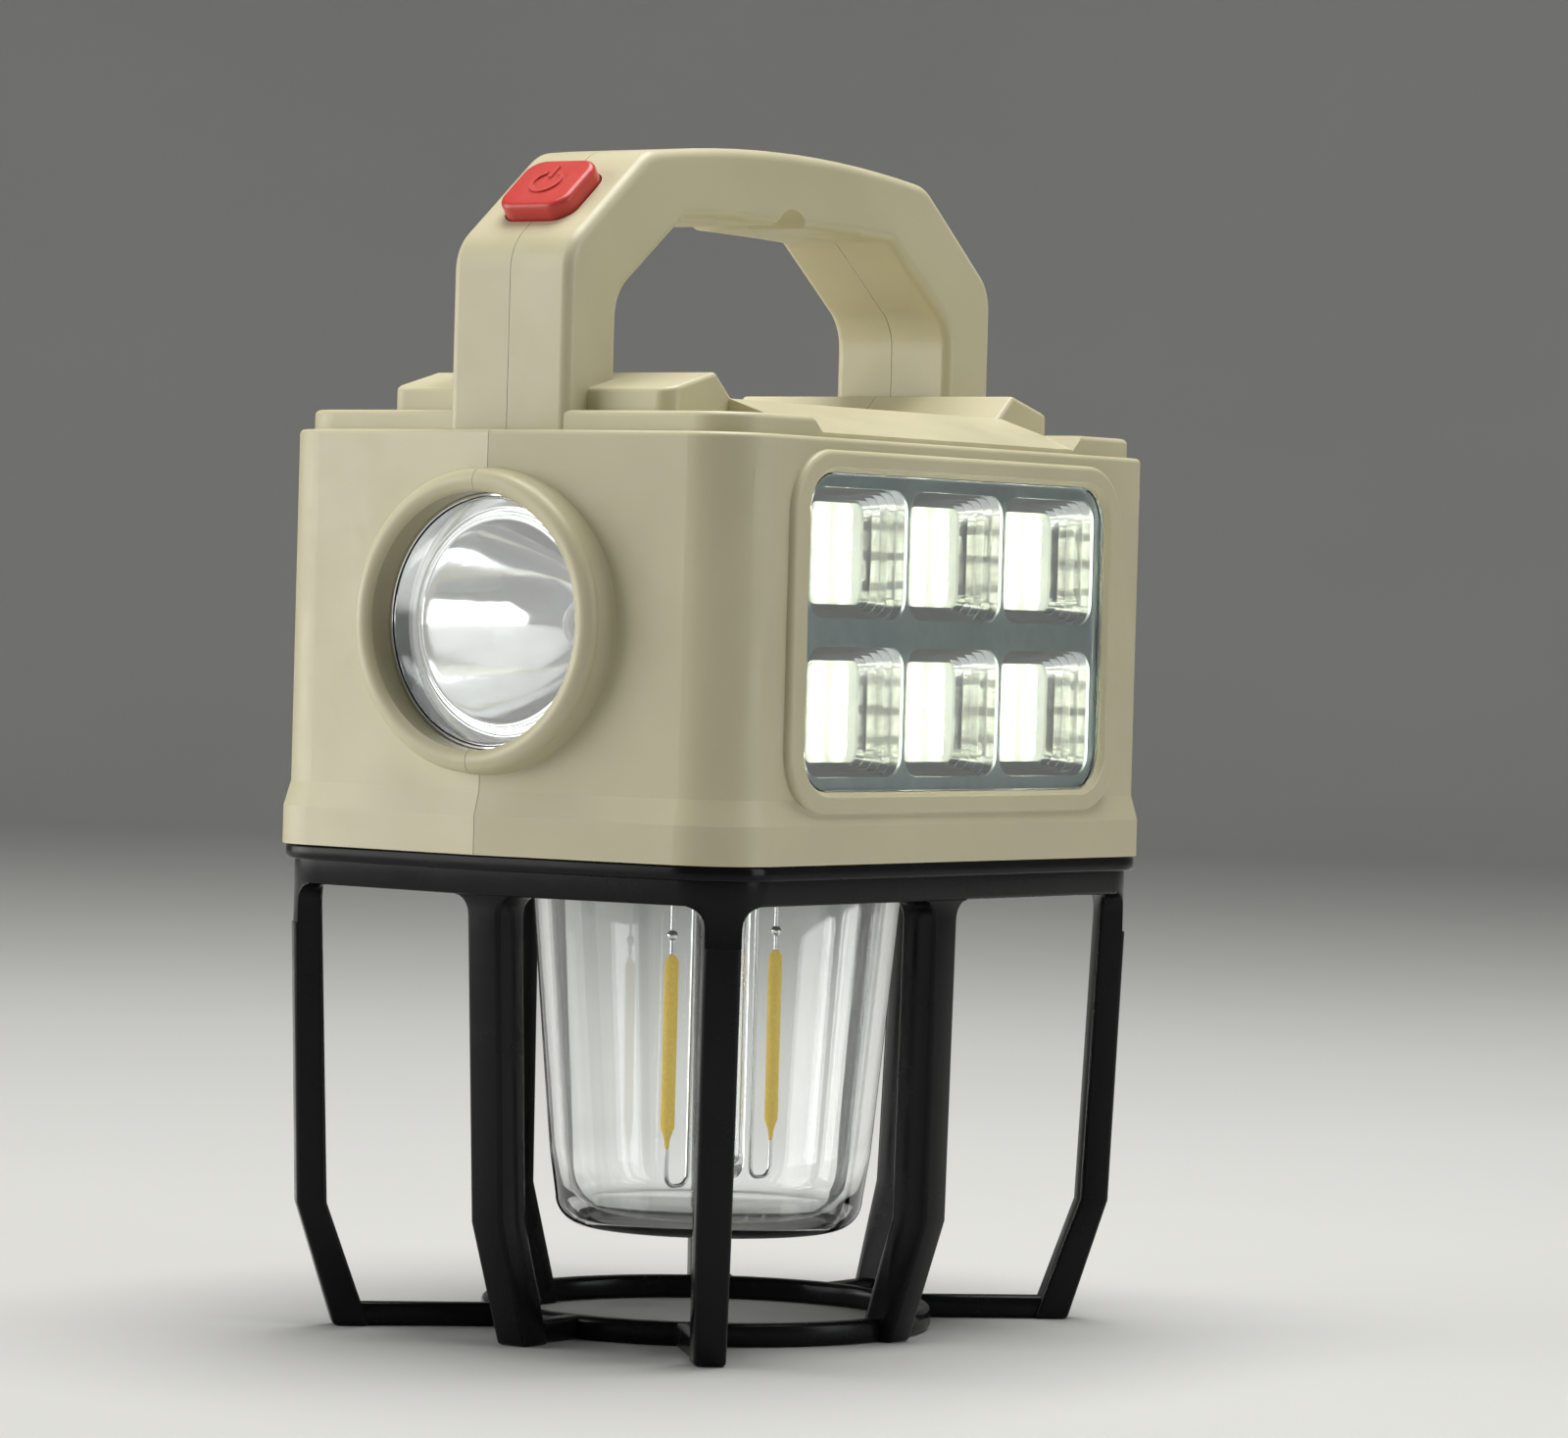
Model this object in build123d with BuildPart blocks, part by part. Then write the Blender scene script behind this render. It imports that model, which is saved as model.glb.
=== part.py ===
from build123d import *
import os
from math import atan2, degrees, sin, cos, radians

# Camping lantern: a moulded body with a torch, a flood light and a solar panel, a carrying handle with a
# power button, and a glass globe with two LED filaments under it, guarded by an eight-legged cage that it
# stands on.
#
# Millimetres, +Z up. The origin is on the globe's axis in the plane that the feet stand on. The torch looks
# along -Y, the flood light along +X and the solar panel along -X.

# ---------------------------------------------------------------- driving dimensions
# Body, in plan: a rounded rectangle whose front and rear walls fold out to an apex at x = 0
BODY_X = 92.4
BODY_Y = 120.4
CORNER_R = 10.5
PROW = 3.6
WALL = 2.4
SEAM = 0.12
FLANGE_OUT = 1.1
Z_FLANGE = 77.9
Z_FLARE = 84.0
Z_BODY = 88.0
Z_RIM = 144.4

# Top plate and plinths
PLATE_INSET = 2.0
PLATE_T = 3.2
Z_PLATE = Z_RIM + PLATE_T
PLATE_PROW = 1.1
PLATE_EDGE_R = 0.9
RAMP_HALF_Y = 35.7
RAMP_END_SLOPE = 3.0
RAMP_TOP_X = 28.0
RAMP_FOOT_X = 44.0
Z_RAMP_TOP = 150.3
Z_RAMP_FOOT = 145.2
PLINTH_HALF_X = 28.0
PLINTH_CORNER_R = 3.0
PLINTH_PROFILE = [(35.7, 146.0), (35.7, 148.6), (42.2, 154.3), (54.0, 151.2), (54.0, 146.0)]
PLINTH_HOLLOW = [(38.2, Z_RIM - 0.1), (38.2, 148.4), (42.2, 151.9), (51.6, 149.6), (51.6, Z_RIM - 0.1)]

# Handle
HANDLE_X = 23.6
POST_OUT_Y = 59.3
POST_IN_Y = 46.5
Z_POST_OUT = 173.3
Z_POST_IN = 166.2
CROWN_OUT_Y = 39.0
CROWN_IN_Y = 29.0
Z_CROWN_OUT = 189.4
Z_CROWN_IN = 179.5
Z_HANDLE_TOP = 192.0
Z_GRIP_UNDER = 180.0
HANDLE_WALL = 2.4
HANDLE_EDGE_R = 1.7
BEND_OUT_R = 8.0
BEND_IN_R = 2.5
BEND_POST_R = 7.5
HOOK_R = 4.5
HOOK_DROP = 1.6

# Power button on the handle's front slope
BUTTON_X = 13.6
BUTTON_L = 13.0
BUTTON_PROUD = 2.9
BUTTON_R = 3.4
BUTTON_UP_SLOPE = 0.4
BUTTON_GAP = 0.3

# Torch, on the Y axis direction at this height
Z_TORCH = 114.4
BEZEL_BASE_R = 24.7
BEZEL_BORE_R = 20.2
BEZEL_CREST_R = 21.7
Y_BEZEL_CREST = -67.6
Y_TORCH_RIM = -62.3
Y_TORCH_BACK = -36.0
TORCH_STEP_R = 15.9
TORCH_STEP_DEPTH = 3.6
TORCH_HOLE_R = 4.0

# Flood light and solar panel windows, seen from the side
PANEL_Y = 94.0
PANEL_Z = 56.8
PANEL_MID_Z = 114.1
PANEL_PROUD = 1.2
PANEL_R = 10.0
WINDOW_Y = 84.8
WINDOW_Z = 49.9
WINDOW_R = 6.5
WINDOW_CHAMFER = 0.8
LENS_T = 1.8
LENS_SINK = 0.9
CELL_PITCH = 27.2
CELL_BAR = 4.4
CELL_BORDER = 2.2

# Rear charging port
PORT_PAD_X = 34.0
PORT_PAD_Z = 20.0
PORT_PAD_Y = 66.9
Z_PORT = 112.0
COVER_X = 27.0
COVER_Z = 13.0
COVER_T = 2.2
COVER_GAP = 0.4
PORT_DEPTH = COVER_T + 0.6
TAB_T = 0.7
SOCKET_X = -5.5
LIGHT_X = (4.0, 6.8, 9.6)
LIGHT_R = 0.75

# Globe and filament lamp
GLOBE_TOP_R = 31.3
GLOBE_BOTTOM_R = 25.3
Z_GLOBE_BOTTOM = 15.7
GLOBE_WALL = 2.4
GLOBE_CORNER_R = 5.0
GLOBE_FLANGE_R = 35.0
DECK_T = 2.4
Z_DECK = Z_FLANGE + DECK_T
LAMP_BASE_T = 3.0
STEM_R = 4.0
Z_STEM_BOTTOM = 22.4
LAMP_X = 2.0
FILAMENT_Y = 14.5
FILAMENT_R = 1.15
Z_FILAMENT_LOW = 29.6
Z_FILAMENT_HIGH = 61.2
LEAD_R = 0.45
LEAD_Y = 8.8
Z_LEAD_LOW = 23.0

# Cage
LIP_T = 2.4
Z_LIP = Z_FLANGE - LIP_T
Z_WINDOW = 71.55
CROWN_INSET = 0.35
CROWN_T = 4.6
Z_BEND = 20.0
CORNER_LEG_W = (5.9, 5.6, 5.1)
CORNER_LEG_T = (4.6, 4.9, 5.8)
MID_LEG_W = (6.4, 6.2, 5.8)
MID_LEG_T = (6.7, 6.7, 6.5)
CORNER_TOP = (43.05, 56.95)
CORNER_BEND = (41.85, 55.75)
CORNER_FOOT = (37.9, 50.4)
FRONT_Y = (62.2, 59.4, 52.1)
SIDE_X = (45.8, 45.2, 38.9)
RING_R = 37.0
RING_T = 3.2
RING_H = 3.8
SPOKE_W = 3.4
SPOKE_L = 26.2

# Fasteners
SCREW_R = 1.3
SCREW_HEAD_R = 2.6
SCREW_HEAD_H = 1.8
BOSS_R = 3.2

pieces = []


def keep(builder, label):
    """Label a finished piece and queue it for export under that name."""
    builder.part.label = label
    pieces.append(builder.part)


def body_plan(grow, prow=PROW):
    """Plan outline of the body, grown outwards by grow, its ends pointed by prow."""
    half_x = BODY_X / 2 + grow
    half_y = BODY_Y / 2 + grow
    with BuildSketch() as plan:
        with BuildLine():
            Polyline(
                (half_x, -half_y),
                (half_x, half_y),
                (0, half_y + prow),
                (-half_x, half_y),
                (-half_x, -half_y),
                (0, -half_y - prow),
                close=True,
            )
        make_face()
        corners = plan.vertices().filter_by(lambda v: abs(v.X) > half_x / 2)
        fillet(corners, CORNER_R + grow)
    return plan.sketch


def screw(length):
    """Self-tapping screw: head from z = 0 upwards, shank downwards."""
    with BuildPart() as one:
        Cylinder(SCREW_HEAD_R, SCREW_HEAD_H, align=(Align.CENTER, Align.CENTER, Align.MIN))
        fillet(one.edges().group_by(Axis.Z)[-1], 0.6)
        Cylinder(SCREW_R, length, align=(Align.CENTER, Align.CENTER, Align.MAX))
        with BuildSketch(Plane.XY.offset(SCREW_HEAD_H)):
            Rectangle(2.8, 0.6)
            Rectangle(0.6, 2.8)
        extrude(amount=-1.1, mode=Mode.SUBTRACT)
    return one.part


BODY_FACE = body_plan(0)
FLANGE_FACE = body_plan(FLANGE_OUT)
CAVITY_FACE = body_plan(-WALL)
PLATE_FACE = body_plan(-PLATE_INSET, PLATE_PROW)
DECK_FACE = body_plan(-WALL - 0.1)
CROWN_FACE = body_plan(-CROWN_INSET)
CROWN_HOLE_FACE = body_plan(-CROWN_INSET - CROWN_T)
RIM_FACE = body_plan(-WALL - 0.2)
RIM_HOLE_FACE = body_plan(-WALL - 1.8)

# ---------------------------------------------------------------- housing
X_FACE = BODY_X / 2 + PANEL_PROUD
SIDE_SCREWS = [(-52.0, 138.0), (52.0, 138.0), (-52.0, 86.5), (52.0, 86.5)]
CAGE_SCREWS = [(sx * 36.5, sy * 50.5) for sx in (-1, 1) for sy in (-1, 1)]
CAGE_SCREW_L = 14.0
torch_plane = Plane(origin=(0, 0, Z_TORCH), x_dir=(1, 0, 0), z_dir=(0, -1, 0))

with BuildPart() as housing:
    with BuildSketch(Plane.XY.offset(Z_FLANGE)):
        add(FLANGE_FACE)
    extrude(amount=Z_FLARE - Z_FLANGE)
    with BuildSketch(Plane.XY.offset(Z_FLARE)):
        add(FLANGE_FACE)
    with BuildSketch(Plane.XY.offset(Z_BODY)):
        add(BODY_FACE)
    loft()
    with BuildSketch(Plane.XY.offset(Z_BODY)):
        add(BODY_FACE)
    extrude(amount=Z_RIM - Z_BODY)
    fillet(housing.edges().group_by(Axis.Z)[-1], 0.8)
    # raised frames round the two side windows
    for side in (-1, 1):
        frame_plane = Plane(origin=(side * (X_FACE - 2), 0, PANEL_MID_Z), x_dir=(0, side, 0), z_dir=(side, 0, 0))
        with BuildSketch(frame_plane):
            RectangleRounded(PANEL_Y, PANEL_Z, PANEL_R)
        extrude(amount=2)
    outer_rims = housing.edges().filter_by(lambda e: abs(abs(e.center().X) - X_FACE) < 1e-3)
    fillet(outer_rims, 0.9)
    # flat pad round the charging port
    with BuildSketch(Plane.XZ.offset(-PORT_PAD_Y)):
        with Locations((0, Z_PORT)):
            RectangleRounded(PORT_PAD_X, PORT_PAD_Z, 4)
    extrude(amount=8)
    # torch bezel: a rounded ring round the torch opening
    with BuildSketch(Plane.XY.offset(Z_TORCH)):
        with BuildLine():
            bezel_arc = ThreePointArc(
                (BEZEL_BORE_R, Y_BEZEL_CREST + 2.8),
                (BEZEL_CREST_R, Y_BEZEL_CREST),
                (BEZEL_BASE_R - 1.0, Y_BEZEL_CREST + 2.4),
            )
            Polyline(
                bezel_arc @ 1,
                (BEZEL_BASE_R, Y_BEZEL_CREST + 6.6),
                (BEZEL_BASE_R, -58),
                (10, -58),
                (10, Y_TORCH_RIM - 0.3),
                (BEZEL_BORE_R, Y_TORCH_RIM - 0.3),
                bezel_arc @ 0,
            )
        make_face()
    revolve(axis=Axis((0, 0, Z_TORCH), (0, 1, 0)))
    # the cavity, open below and above
    with BuildSketch(Plane.XY.offset(Z_FLANGE)):
        add(CAVITY_FACE)
    extrude(amount=Z_RIM - Z_FLANGE, mode=Mode.SUBTRACT)
    # windows of the flood light and the solar panel
    with BuildSketch(Plane.YZ.offset(-60)):
        with Locations((0, PANEL_MID_Z)):
            RectangleRounded(WINDOW_Y, WINDOW_Z, WINDOW_R)
    extrude(amount=120, mode=Mode.SUBTRACT)
    face_edges = housing.edges().filter_by(lambda e: abs(abs(e.center().X) - X_FACE) < 1e-3)
    window_rims = face_edges.filter_by(
        lambda e: abs(e.center().Y) <= WINDOW_Y / 2 + 0.1 and abs(e.center().Z - PANEL_MID_Z) <= WINDOW_Z / 2 + 0.1
    )
    chamfer(window_rims, WINDOW_CHAMFER)
    # port recess and the slot behind it
    with BuildSketch(Plane.XZ.offset(-PORT_PAD_Y)):
        with Locations((0, Z_PORT)):
            RectangleRounded(COVER_X + 2 * COVER_GAP, COVER_Z + 2 * COVER_GAP, 2.5)
    extrude(amount=PORT_DEPTH, mode=Mode.SUBTRACT)
    with BuildSketch(Plane.XZ.offset(-PORT_PAD_Y)):
        with Locations((SOCKET_X, Z_PORT)):
            RectangleRounded(9.6, 3.8, 1.6)
        with Locations(*[(x, Z_PORT) for x in LIGHT_X]):
            Circle(LIGHT_R + 0.05)
    extrude(amount=12, mode=Mode.SUBTRACT)
    # bosses for the screws that draw the halves together
    for y, z in SIDE_SCREWS:
        with BuildSketch(Plane.YZ.offset(-BODY_X / 2 + 1)):
            with Locations((y, z)):
                Circle(BOSS_R)
        extrude(amount=BODY_X - 2)
    # bosses and ribs for the cage screws
    for x, y in CAGE_SCREWS:
        with BuildSketch(Plane.XY.offset(Z_DECK)):
            with Locations((x, y)):
                Circle(BOSS_R)
            slant = 45 if x * y > 0 else -45
            with Locations(Location((x * 1.09, y * 1.065), slant)):
                Rectangle(8.6, 1.8)
        extrude(amount=20)
    # bore of the torch, through the bezel and the front wall
    with BuildSketch(torch_plane.offset(50)):
        Circle(BEZEL_BORE_R)
    extrude(amount=30, mode=Mode.SUBTRACT)
    # screw bores
    for y, z in SIDE_SCREWS:
        with BuildSketch(Plane.YZ.offset(-60)):
            with Locations((y, z)):
                Circle(SCREW_HEAD_R + 0.2)
        extrude(amount=52, mode=Mode.SUBTRACT)
        with BuildSketch(Plane.YZ.offset(-9)):
            with Locations((y, z)):
                Circle(SCREW_R)
        extrude(amount=19, mode=Mode.SUBTRACT)
    for x, y in CAGE_SCREWS:
        with BuildSketch(Plane.XY.offset(Z_DECK - 1)):
            with Locations((x, y)):
                Circle(SCREW_R)
        extrude(amount=16, mode=Mode.SUBTRACT)

with BuildPart() as housing_left:
    add(housing.part)
    split(bisect_by=Plane.YZ.offset(-SEAM / 2), keep=Keep.BOTTOM)
keep(housing_left, "housing_left")

with BuildPart() as housing_right:
    add(housing.part)
    split(bisect_by=Plane.YZ.offset(SEAM / 2), keep=Keep.TOP)
keep(housing_right, "housing_right")

with BuildPart() as housing_screws:
    for y, z in SIDE_SCREWS:
        with Locations(Location((-8, y, z), (0, -90, 0))):
            add(screw(14))
keep(housing_screws, "housing_screws")

# ---------------------------------------------------------------- top plate, plinths and handle
slope_angle = degrees(atan2(Z_CROWN_OUT - Z_POST_OUT, POST_OUT_Y - CROWN_OUT_Y))
slope_mid_y = -(POST_OUT_Y + CROWN_OUT_Y) / 2 + BUTTON_UP_SLOPE * cos(radians(slope_angle))
slope_mid_z = (Z_POST_OUT + Z_CROWN_OUT) / 2 + BUTTON_UP_SLOPE * sin(radians(slope_angle))
button_plane = Plane(
    origin=(0, slope_mid_y, slope_mid_z),
    x_dir=(1, 0, 0),
    z_dir=(0, -sin(radians(slope_angle)), cos(radians(slope_angle))),
)
HANDLE_SCREWS = [(-52.9, 157.0), (52.9, 157.0)]
BOARD_DEPTH = 9.4


def grip_outline(shrink):
    """Outer outline of the handle in the YZ plane, moved inwards by shrink."""
    s = shrink
    with BuildLine() as line:
        left = (-CROWN_OUT_Y + 0.35 * s, Z_CROWN_OUT - s)
        right = (CROWN_OUT_Y - 0.35 * s, Z_CROWN_OUT - s)
        ThreePointArc(left, (0, Z_HANDLE_TOP - s), right)
        Polyline(
            right,
            (POST_OUT_Y - s, Z_POST_OUT - 0.45 * s),
            (POST_OUT_Y - s, Z_RIM),
            (-POST_OUT_Y + s, Z_RIM),
            (-POST_OUT_Y + s, Z_POST_OUT - 0.45 * s),
            left,
        )
    return line


def grip_hole(grow):
    """Outline of the finger opening in the YZ plane, moved outwards by grow."""
    g = grow
    with BuildLine() as line:
        left = (-CROWN_IN_Y - 0.35 * g, Z_CROWN_IN + g)
        right = (CROWN_IN_Y + 0.35 * g, Z_CROWN_IN + g)
        ThreePointArc(left, (0, Z_GRIP_UNDER + g), right)
        Polyline(
            right,
            (POST_IN_Y + g, Z_POST_IN + 0.4 * g),
            (POST_IN_Y + g, Z_RIM - 10),
            (-POST_IN_Y - g, Z_RIM - 10),
            (-POST_IN_Y - g, Z_POST_IN + 0.4 * g),
            left,
        )
    return line


def extruded(outline, half_width):
    """Solid of an outline in the YZ plane, half_width to each side of x = 0."""
    with BuildPart() as block:
        with BuildSketch(Plane.YZ) as face:
            with BuildLine():
                add(outline.line)
            make_face()
        extrude(amount=half_width, both=True)
    return block.part


GRIP = extruded(grip_outline(0), HANDLE_X / 2)
GRIP_HOLE = extruded(grip_hole(0), HANDLE_X)
GRIP_CORE = extruded(grip_outline(HANDLE_WALL), HANDLE_X / 2 - HANDLE_WALL)
GRIP_CORE_HOLE = extruded(grip_hole(HANDLE_WALL), HANDLE_X)

with BuildPart() as grip:
    add(GRIP)
    add(GRIP_HOLE, mode=Mode.SUBTRACT)
    bends = grip.edges().filter_by(lambda e: abs(e.center().X) < 1e-3 and e.center().Z > Z_PLATE)
    fillet(bends.filter_by(lambda e: abs(e.center().Y) > POST_OUT_Y - 1 or e.center().Z > Z_CROWN_OUT - 1), BEND_OUT_R)
    bends = grip.edges().filter_by(lambda e: abs(e.center().X) < 1e-3 and e.length > HANDLE_X - 1)
    fillet(bends.filter_by(lambda e: abs(e.center().Z - Z_POST_IN) < 1 and abs(e.center().Y) < POST_IN_Y + 1), BEND_POST_R)
    bends = grip.edges().filter_by(lambda e: abs(e.center().X) < 1e-3 and e.length > HANDLE_X - 1)
    fillet(bends.filter_by(lambda e: abs(e.center().Z - Z_CROWN_IN) < 0.1), BEND_IN_R)
    rims = grip.edges().filter_by(lambda e: abs(abs(e.center().X) - HANDLE_X / 2) < 1e-3 and e.center().Z > Z_PLATE)
    fillet(rims, HANDLE_EDGE_R)
    # half-round notch under the grip for a hook or cord
    with BuildSketch(Plane.YZ):
        with Locations((0, Z_GRIP_UNDER - HOOK_DROP)):
            Circle(HOOK_R)
    extrude(amount=HANDLE_X, both=True, mode=Mode.SUBTRACT)

with BuildPart() as grip_core:
    add(GRIP_CORE)
    add(GRIP_CORE_HOLE, mode=Mode.SUBTRACT)
    with BuildSketch(Plane.YZ):
        with Locations((0, Z_GRIP_UNDER - HOOK_DROP)):
            Circle(HOOK_R + HANDLE_WALL)
    extrude(amount=HANDLE_X, both=True, mode=Mode.SUBTRACT)

with BuildPart() as plinth:
    with BuildSketch(Plane.YZ):
        Polygon(*PLINTH_PROFILE, align=None)
    extrude(amount=PLINTH_HALF_X, both=True)
    uprights = plinth.edges().filter_by(Axis.Z)
    fillet(uprights.filter_by(lambda e: e.center().Y > PLINTH_PROFILE[-1][0] - 1), PLINTH_CORNER_R)
    fillet(plinth.edges().filter_by(lambda e: e.center().Z > Z_RIM + 1.6), 0.8)

with BuildPart() as handle:
    with BuildSketch(Plane.XY.offset(Z_RIM)):
        add(PLATE_FACE)
    extrude(amount=PLATE_T)
    fillet(handle.edges().group_by(Axis.Z)[-1], PLATE_EDGE_R)
    # the middle of the plate falls away to both sides in ramps
    with BuildSketch(Plane.YZ):
        Polygon(
            (-RAMP_HALF_Y, Z_RIM + 0.6),
            (RAMP_HALF_Y, Z_RIM + 0.6),
            (RAMP_HALF_Y + RAMP_END_SLOPE, Z_PLATE),
            (RAMP_HALF_Y + RAMP_END_SLOPE, Z_PLATE + 5),
            (-RAMP_HALF_Y - RAMP_END_SLOPE, Z_PLATE + 5),
            (-RAMP_HALF_Y - RAMP_END_SLOPE, Z_PLATE),
            align=None,
        )
    extrude(amount=BODY_X / 2, both=True, mode=Mode.SUBTRACT)
    with BuildSketch(Plane.XZ):
        Polygon(
            (-RAMP_FOOT_X, Z_RIM),
            (-RAMP_FOOT_X, Z_RAMP_FOOT),
            (-RAMP_TOP_X, Z_RAMP_TOP),
            (RAMP_TOP_X, Z_RAMP_TOP),
            (RAMP_FOOT_X, Z_RAMP_FOOT),
            (RAMP_FOOT_X, Z_RIM),
            align=None,
        )
    extrude(amount=RAMP_HALF_Y + RAMP_END_SLOPE, both=True)
    add(plinth.part)
    add(mirror(plinth.part, about=Plane.XZ))
    add(grip.part)
    # locating rim that stands inside the body's walls
    with BuildSketch(Plane.XY.offset(Z_RIM - 2.5)):
        add(RIM_FACE)
        add(RIM_HOLE_FACE, mode=Mode.SUBTRACT)
    extrude(amount=2.6)
    # hollow plinths and hollow grip
    for end in (-1, 1):
        with BuildSketch(Plane.YZ):
            Polygon(*[(end * y, z) for y, z in PLINTH_HOLLOW], align=None)
        extrude(amount=PLINTH_HALF_X - HANDLE_WALL, both=True, mode=Mode.SUBTRACT)
    add(grip_core.part, mode=Mode.SUBTRACT)
    # ledges that carry the switch board
    for side in (-1, 1):
        with BuildSketch(button_plane.offset(-BOARD_DEPTH)):
            with Locations((side * 8.0, 0)):
                Rectangle(2.4, 10)
        extrude(amount=-1.4)
    # bosses and bores for the screws through the posts
    for y, z in HANDLE_SCREWS:
        with BuildSketch(Plane.YZ):
            with Locations((y, z)):
                Circle(BOSS_R)
        extrude(amount=HANDLE_X / 2 - 1, both=True)
        with BuildSketch(Plane.YZ.offset(-HANDLE_X)):
            with Locations((y, z)):
                Circle(SCREW_HEAD_R + 0.2)
        extrude(amount=HANDLE_X - 7, mode=Mode.SUBTRACT)
        with BuildSketch(Plane.YZ.offset(-8)):
            with Locations((y, z)):
                Circle(SCREW_R)
        extrude(amount=15, mode=Mode.SUBTRACT)
    # opening for the power button
    with BuildSketch(button_plane.offset(-6)):
        RectangleRounded(BUTTON_X + 2 * BUTTON_GAP, BUTTON_L + 2 * BUTTON_GAP, BUTTON_R + BUTTON_GAP)
    extrude(amount=12, mode=Mode.SUBTRACT)

with BuildPart() as handle_left:
    add(handle.part)
    split(bisect_by=Plane.YZ.offset(-SEAM / 2), keep=Keep.BOTTOM)
keep(handle_left, "handle_left")

with BuildPart() as handle_right:
    add(handle.part)
    split(bisect_by=Plane.YZ.offset(SEAM / 2), keep=Keep.TOP)
keep(handle_right, "handle_right")

with BuildPart() as handle_screws:
    for y, z in HANDLE_SCREWS:
        with Locations(Location((-7, y, z), (0, -90, 0))):
            add(screw(13))
keep(handle_screws, "handle_screws")

# ---------------------------------------------------------------- power button
CAP_FLANGE = 1.0
CAP_DEPTH = HANDLE_WALL + BUTTON_GAP
with BuildPart() as power_button:
    with BuildSketch(button_plane.offset(-CAP_DEPTH)):
        RectangleRounded(BUTTON_X, BUTTON_L, BUTTON_R)
    extrude(amount=CAP_DEPTH + BUTTON_PROUD)
    fillet(power_button.faces().sort_by(Axis(button_plane.origin, button_plane.z_dir))[-1].edges(), 0.9)
    with BuildSketch(button_plane.offset(-CAP_DEPTH)):
        RectangleRounded(BUTTON_X + 2.2, BUTTON_L + 2.0, BUTTON_R)
    extrude(amount=-CAP_FLANGE)
    # embossed on/off sign: an open ring with a bar at its gap
    with BuildSketch(button_plane.offset(BUTTON_PROUD - 0.1)):
        Circle(2.9)
        Circle(2.3, mode=Mode.SUBTRACT)
        with Locations((0, 2.6)):
            Rectangle(2.2, 2.0, mode=Mode.SUBTRACT)
            Rectangle(0.6, 3.0)
    extrude(amount=0.4)
keep(power_button, "power_button")

with BuildPart() as switch_plunger:
    with BuildSketch(button_plane.offset(-CAP_DEPTH - CAP_FLANGE)):
        Circle(1.7)
    extrude(amount=-2.5)
keep(switch_plunger, "switch_plunger")

with BuildPart() as switch_case:
    with BuildSketch(button_plane.offset(-5.1)):
        Rectangle(6.2, 6.2)
    extrude(amount=-3.1)
    with BuildSketch(button_plane.offset(-5.1)):
        Circle(2.05)
    extrude(amount=-2.6, mode=Mode.SUBTRACT)
keep(switch_case, "switch_case")

with BuildPart() as switch_board:
    with BuildSketch(button_plane.offset(-8.2)):
        Rectangle(17.4, 13)
    extrude(amount=-1.2)
keep(switch_board, "switch_board")

# ---------------------------------------------------------------- flood light, +X
X_LENS_OUT = X_FACE - LENS_SINK
X_LENS_IN = X_LENS_OUT - LENS_T
X_CHIP_BOARD = 38.4
BOARD_T = 1.2
WINDOW_GAP = 0.1
window_y = WINDOW_Y - 2 * WINDOW_GAP
window_z = WINDOW_Z - 2 * WINDOW_GAP
cell_h = (window_z - 2 * CELL_BORDER - CELL_BAR) / 2
CELL_SPOTS = [(CELL_PITCH * i, j * (cell_h + CELL_BAR) / 2) for i in (-1, 0, 1) for j in (-1, 1)]


def side_plane(x):
    """Plane across X at x, with its own x along +Y and y along +Z, centred on the panel."""
    return Plane(origin=(x, 0, PANEL_MID_Z), x_dir=(0, 1, 0), z_dir=(1, 0, 0))


with BuildPart() as flood_lens:
    with BuildSketch(side_plane(X_LENS_IN)):
        RectangleRounded(window_y, window_z, WINDOW_R)
    extrude(amount=LENS_T)
    fillet(flood_lens.faces().sort_by(Axis.X)[-1].edges(), 0.5)
keep(flood_lens, "flood_lens")

with BuildPart() as flood_reflector:
    with BuildSketch(side_plane(X_CHIP_BOARD + BOARD_T)):
        RectangleRounded(window_y, window_z, WINDOW_R)
    extrude(amount=X_LENS_IN - X_CHIP_BOARD - BOARD_T)
    with BuildSketch(side_plane(X_LENS_IN)):
        with Locations(*CELL_SPOTS):
            RectangleRounded(CELL_PITCH - 1.2, cell_h, 2.0)
    extrude(amount=-(X_LENS_IN - X_CHIP_BOARD - BOARD_T), taper=14, mode=Mode.SUBTRACT)
keep(flood_reflector, "flood_reflector")

with BuildPart() as flood_board:
    with BuildSketch(side_plane(X_CHIP_BOARD)):
        RectangleRounded(window_y, window_z, WINDOW_R)
    extrude(amount=BOARD_T)
keep(flood_board, "flood_board")

with BuildPart() as flood_leds:
    with BuildSketch(side_plane(X_CHIP_BOARD + BOARD_T)):
        with Locations(*CELL_SPOTS):
            RectangleRounded(9.0, 14.0, 0.8)
    extrude(amount=1.0)
keep(flood_leds, "flood_leds")

# ---------------------------------------------------------------- solar panel, -X
with BuildPart() as solar_cover:
    with BuildSketch(side_plane(-X_LENS_OUT)):
        RectangleRounded(window_y, window_z, WINDOW_R)
    extrude(amount=1.2)
keep(solar_cover, "solar_cover")

with BuildPart() as solar_cell:
    with BuildSketch(side_plane(-X_LENS_OUT + 1.2)):
        RectangleRounded(window_y - 3, window_z - 3, WINDOW_R - 1.5)
    extrude(amount=0.4)
keep(solar_cell, "solar_cell")

with BuildPart() as solar_backing:
    with BuildSketch(side_plane(-X_LENS_OUT + 1.6)):
        RectangleRounded(window_y, window_z, WINDOW_R)
    extrude(amount=1.6)
keep(solar_backing, "solar_backing")

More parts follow.
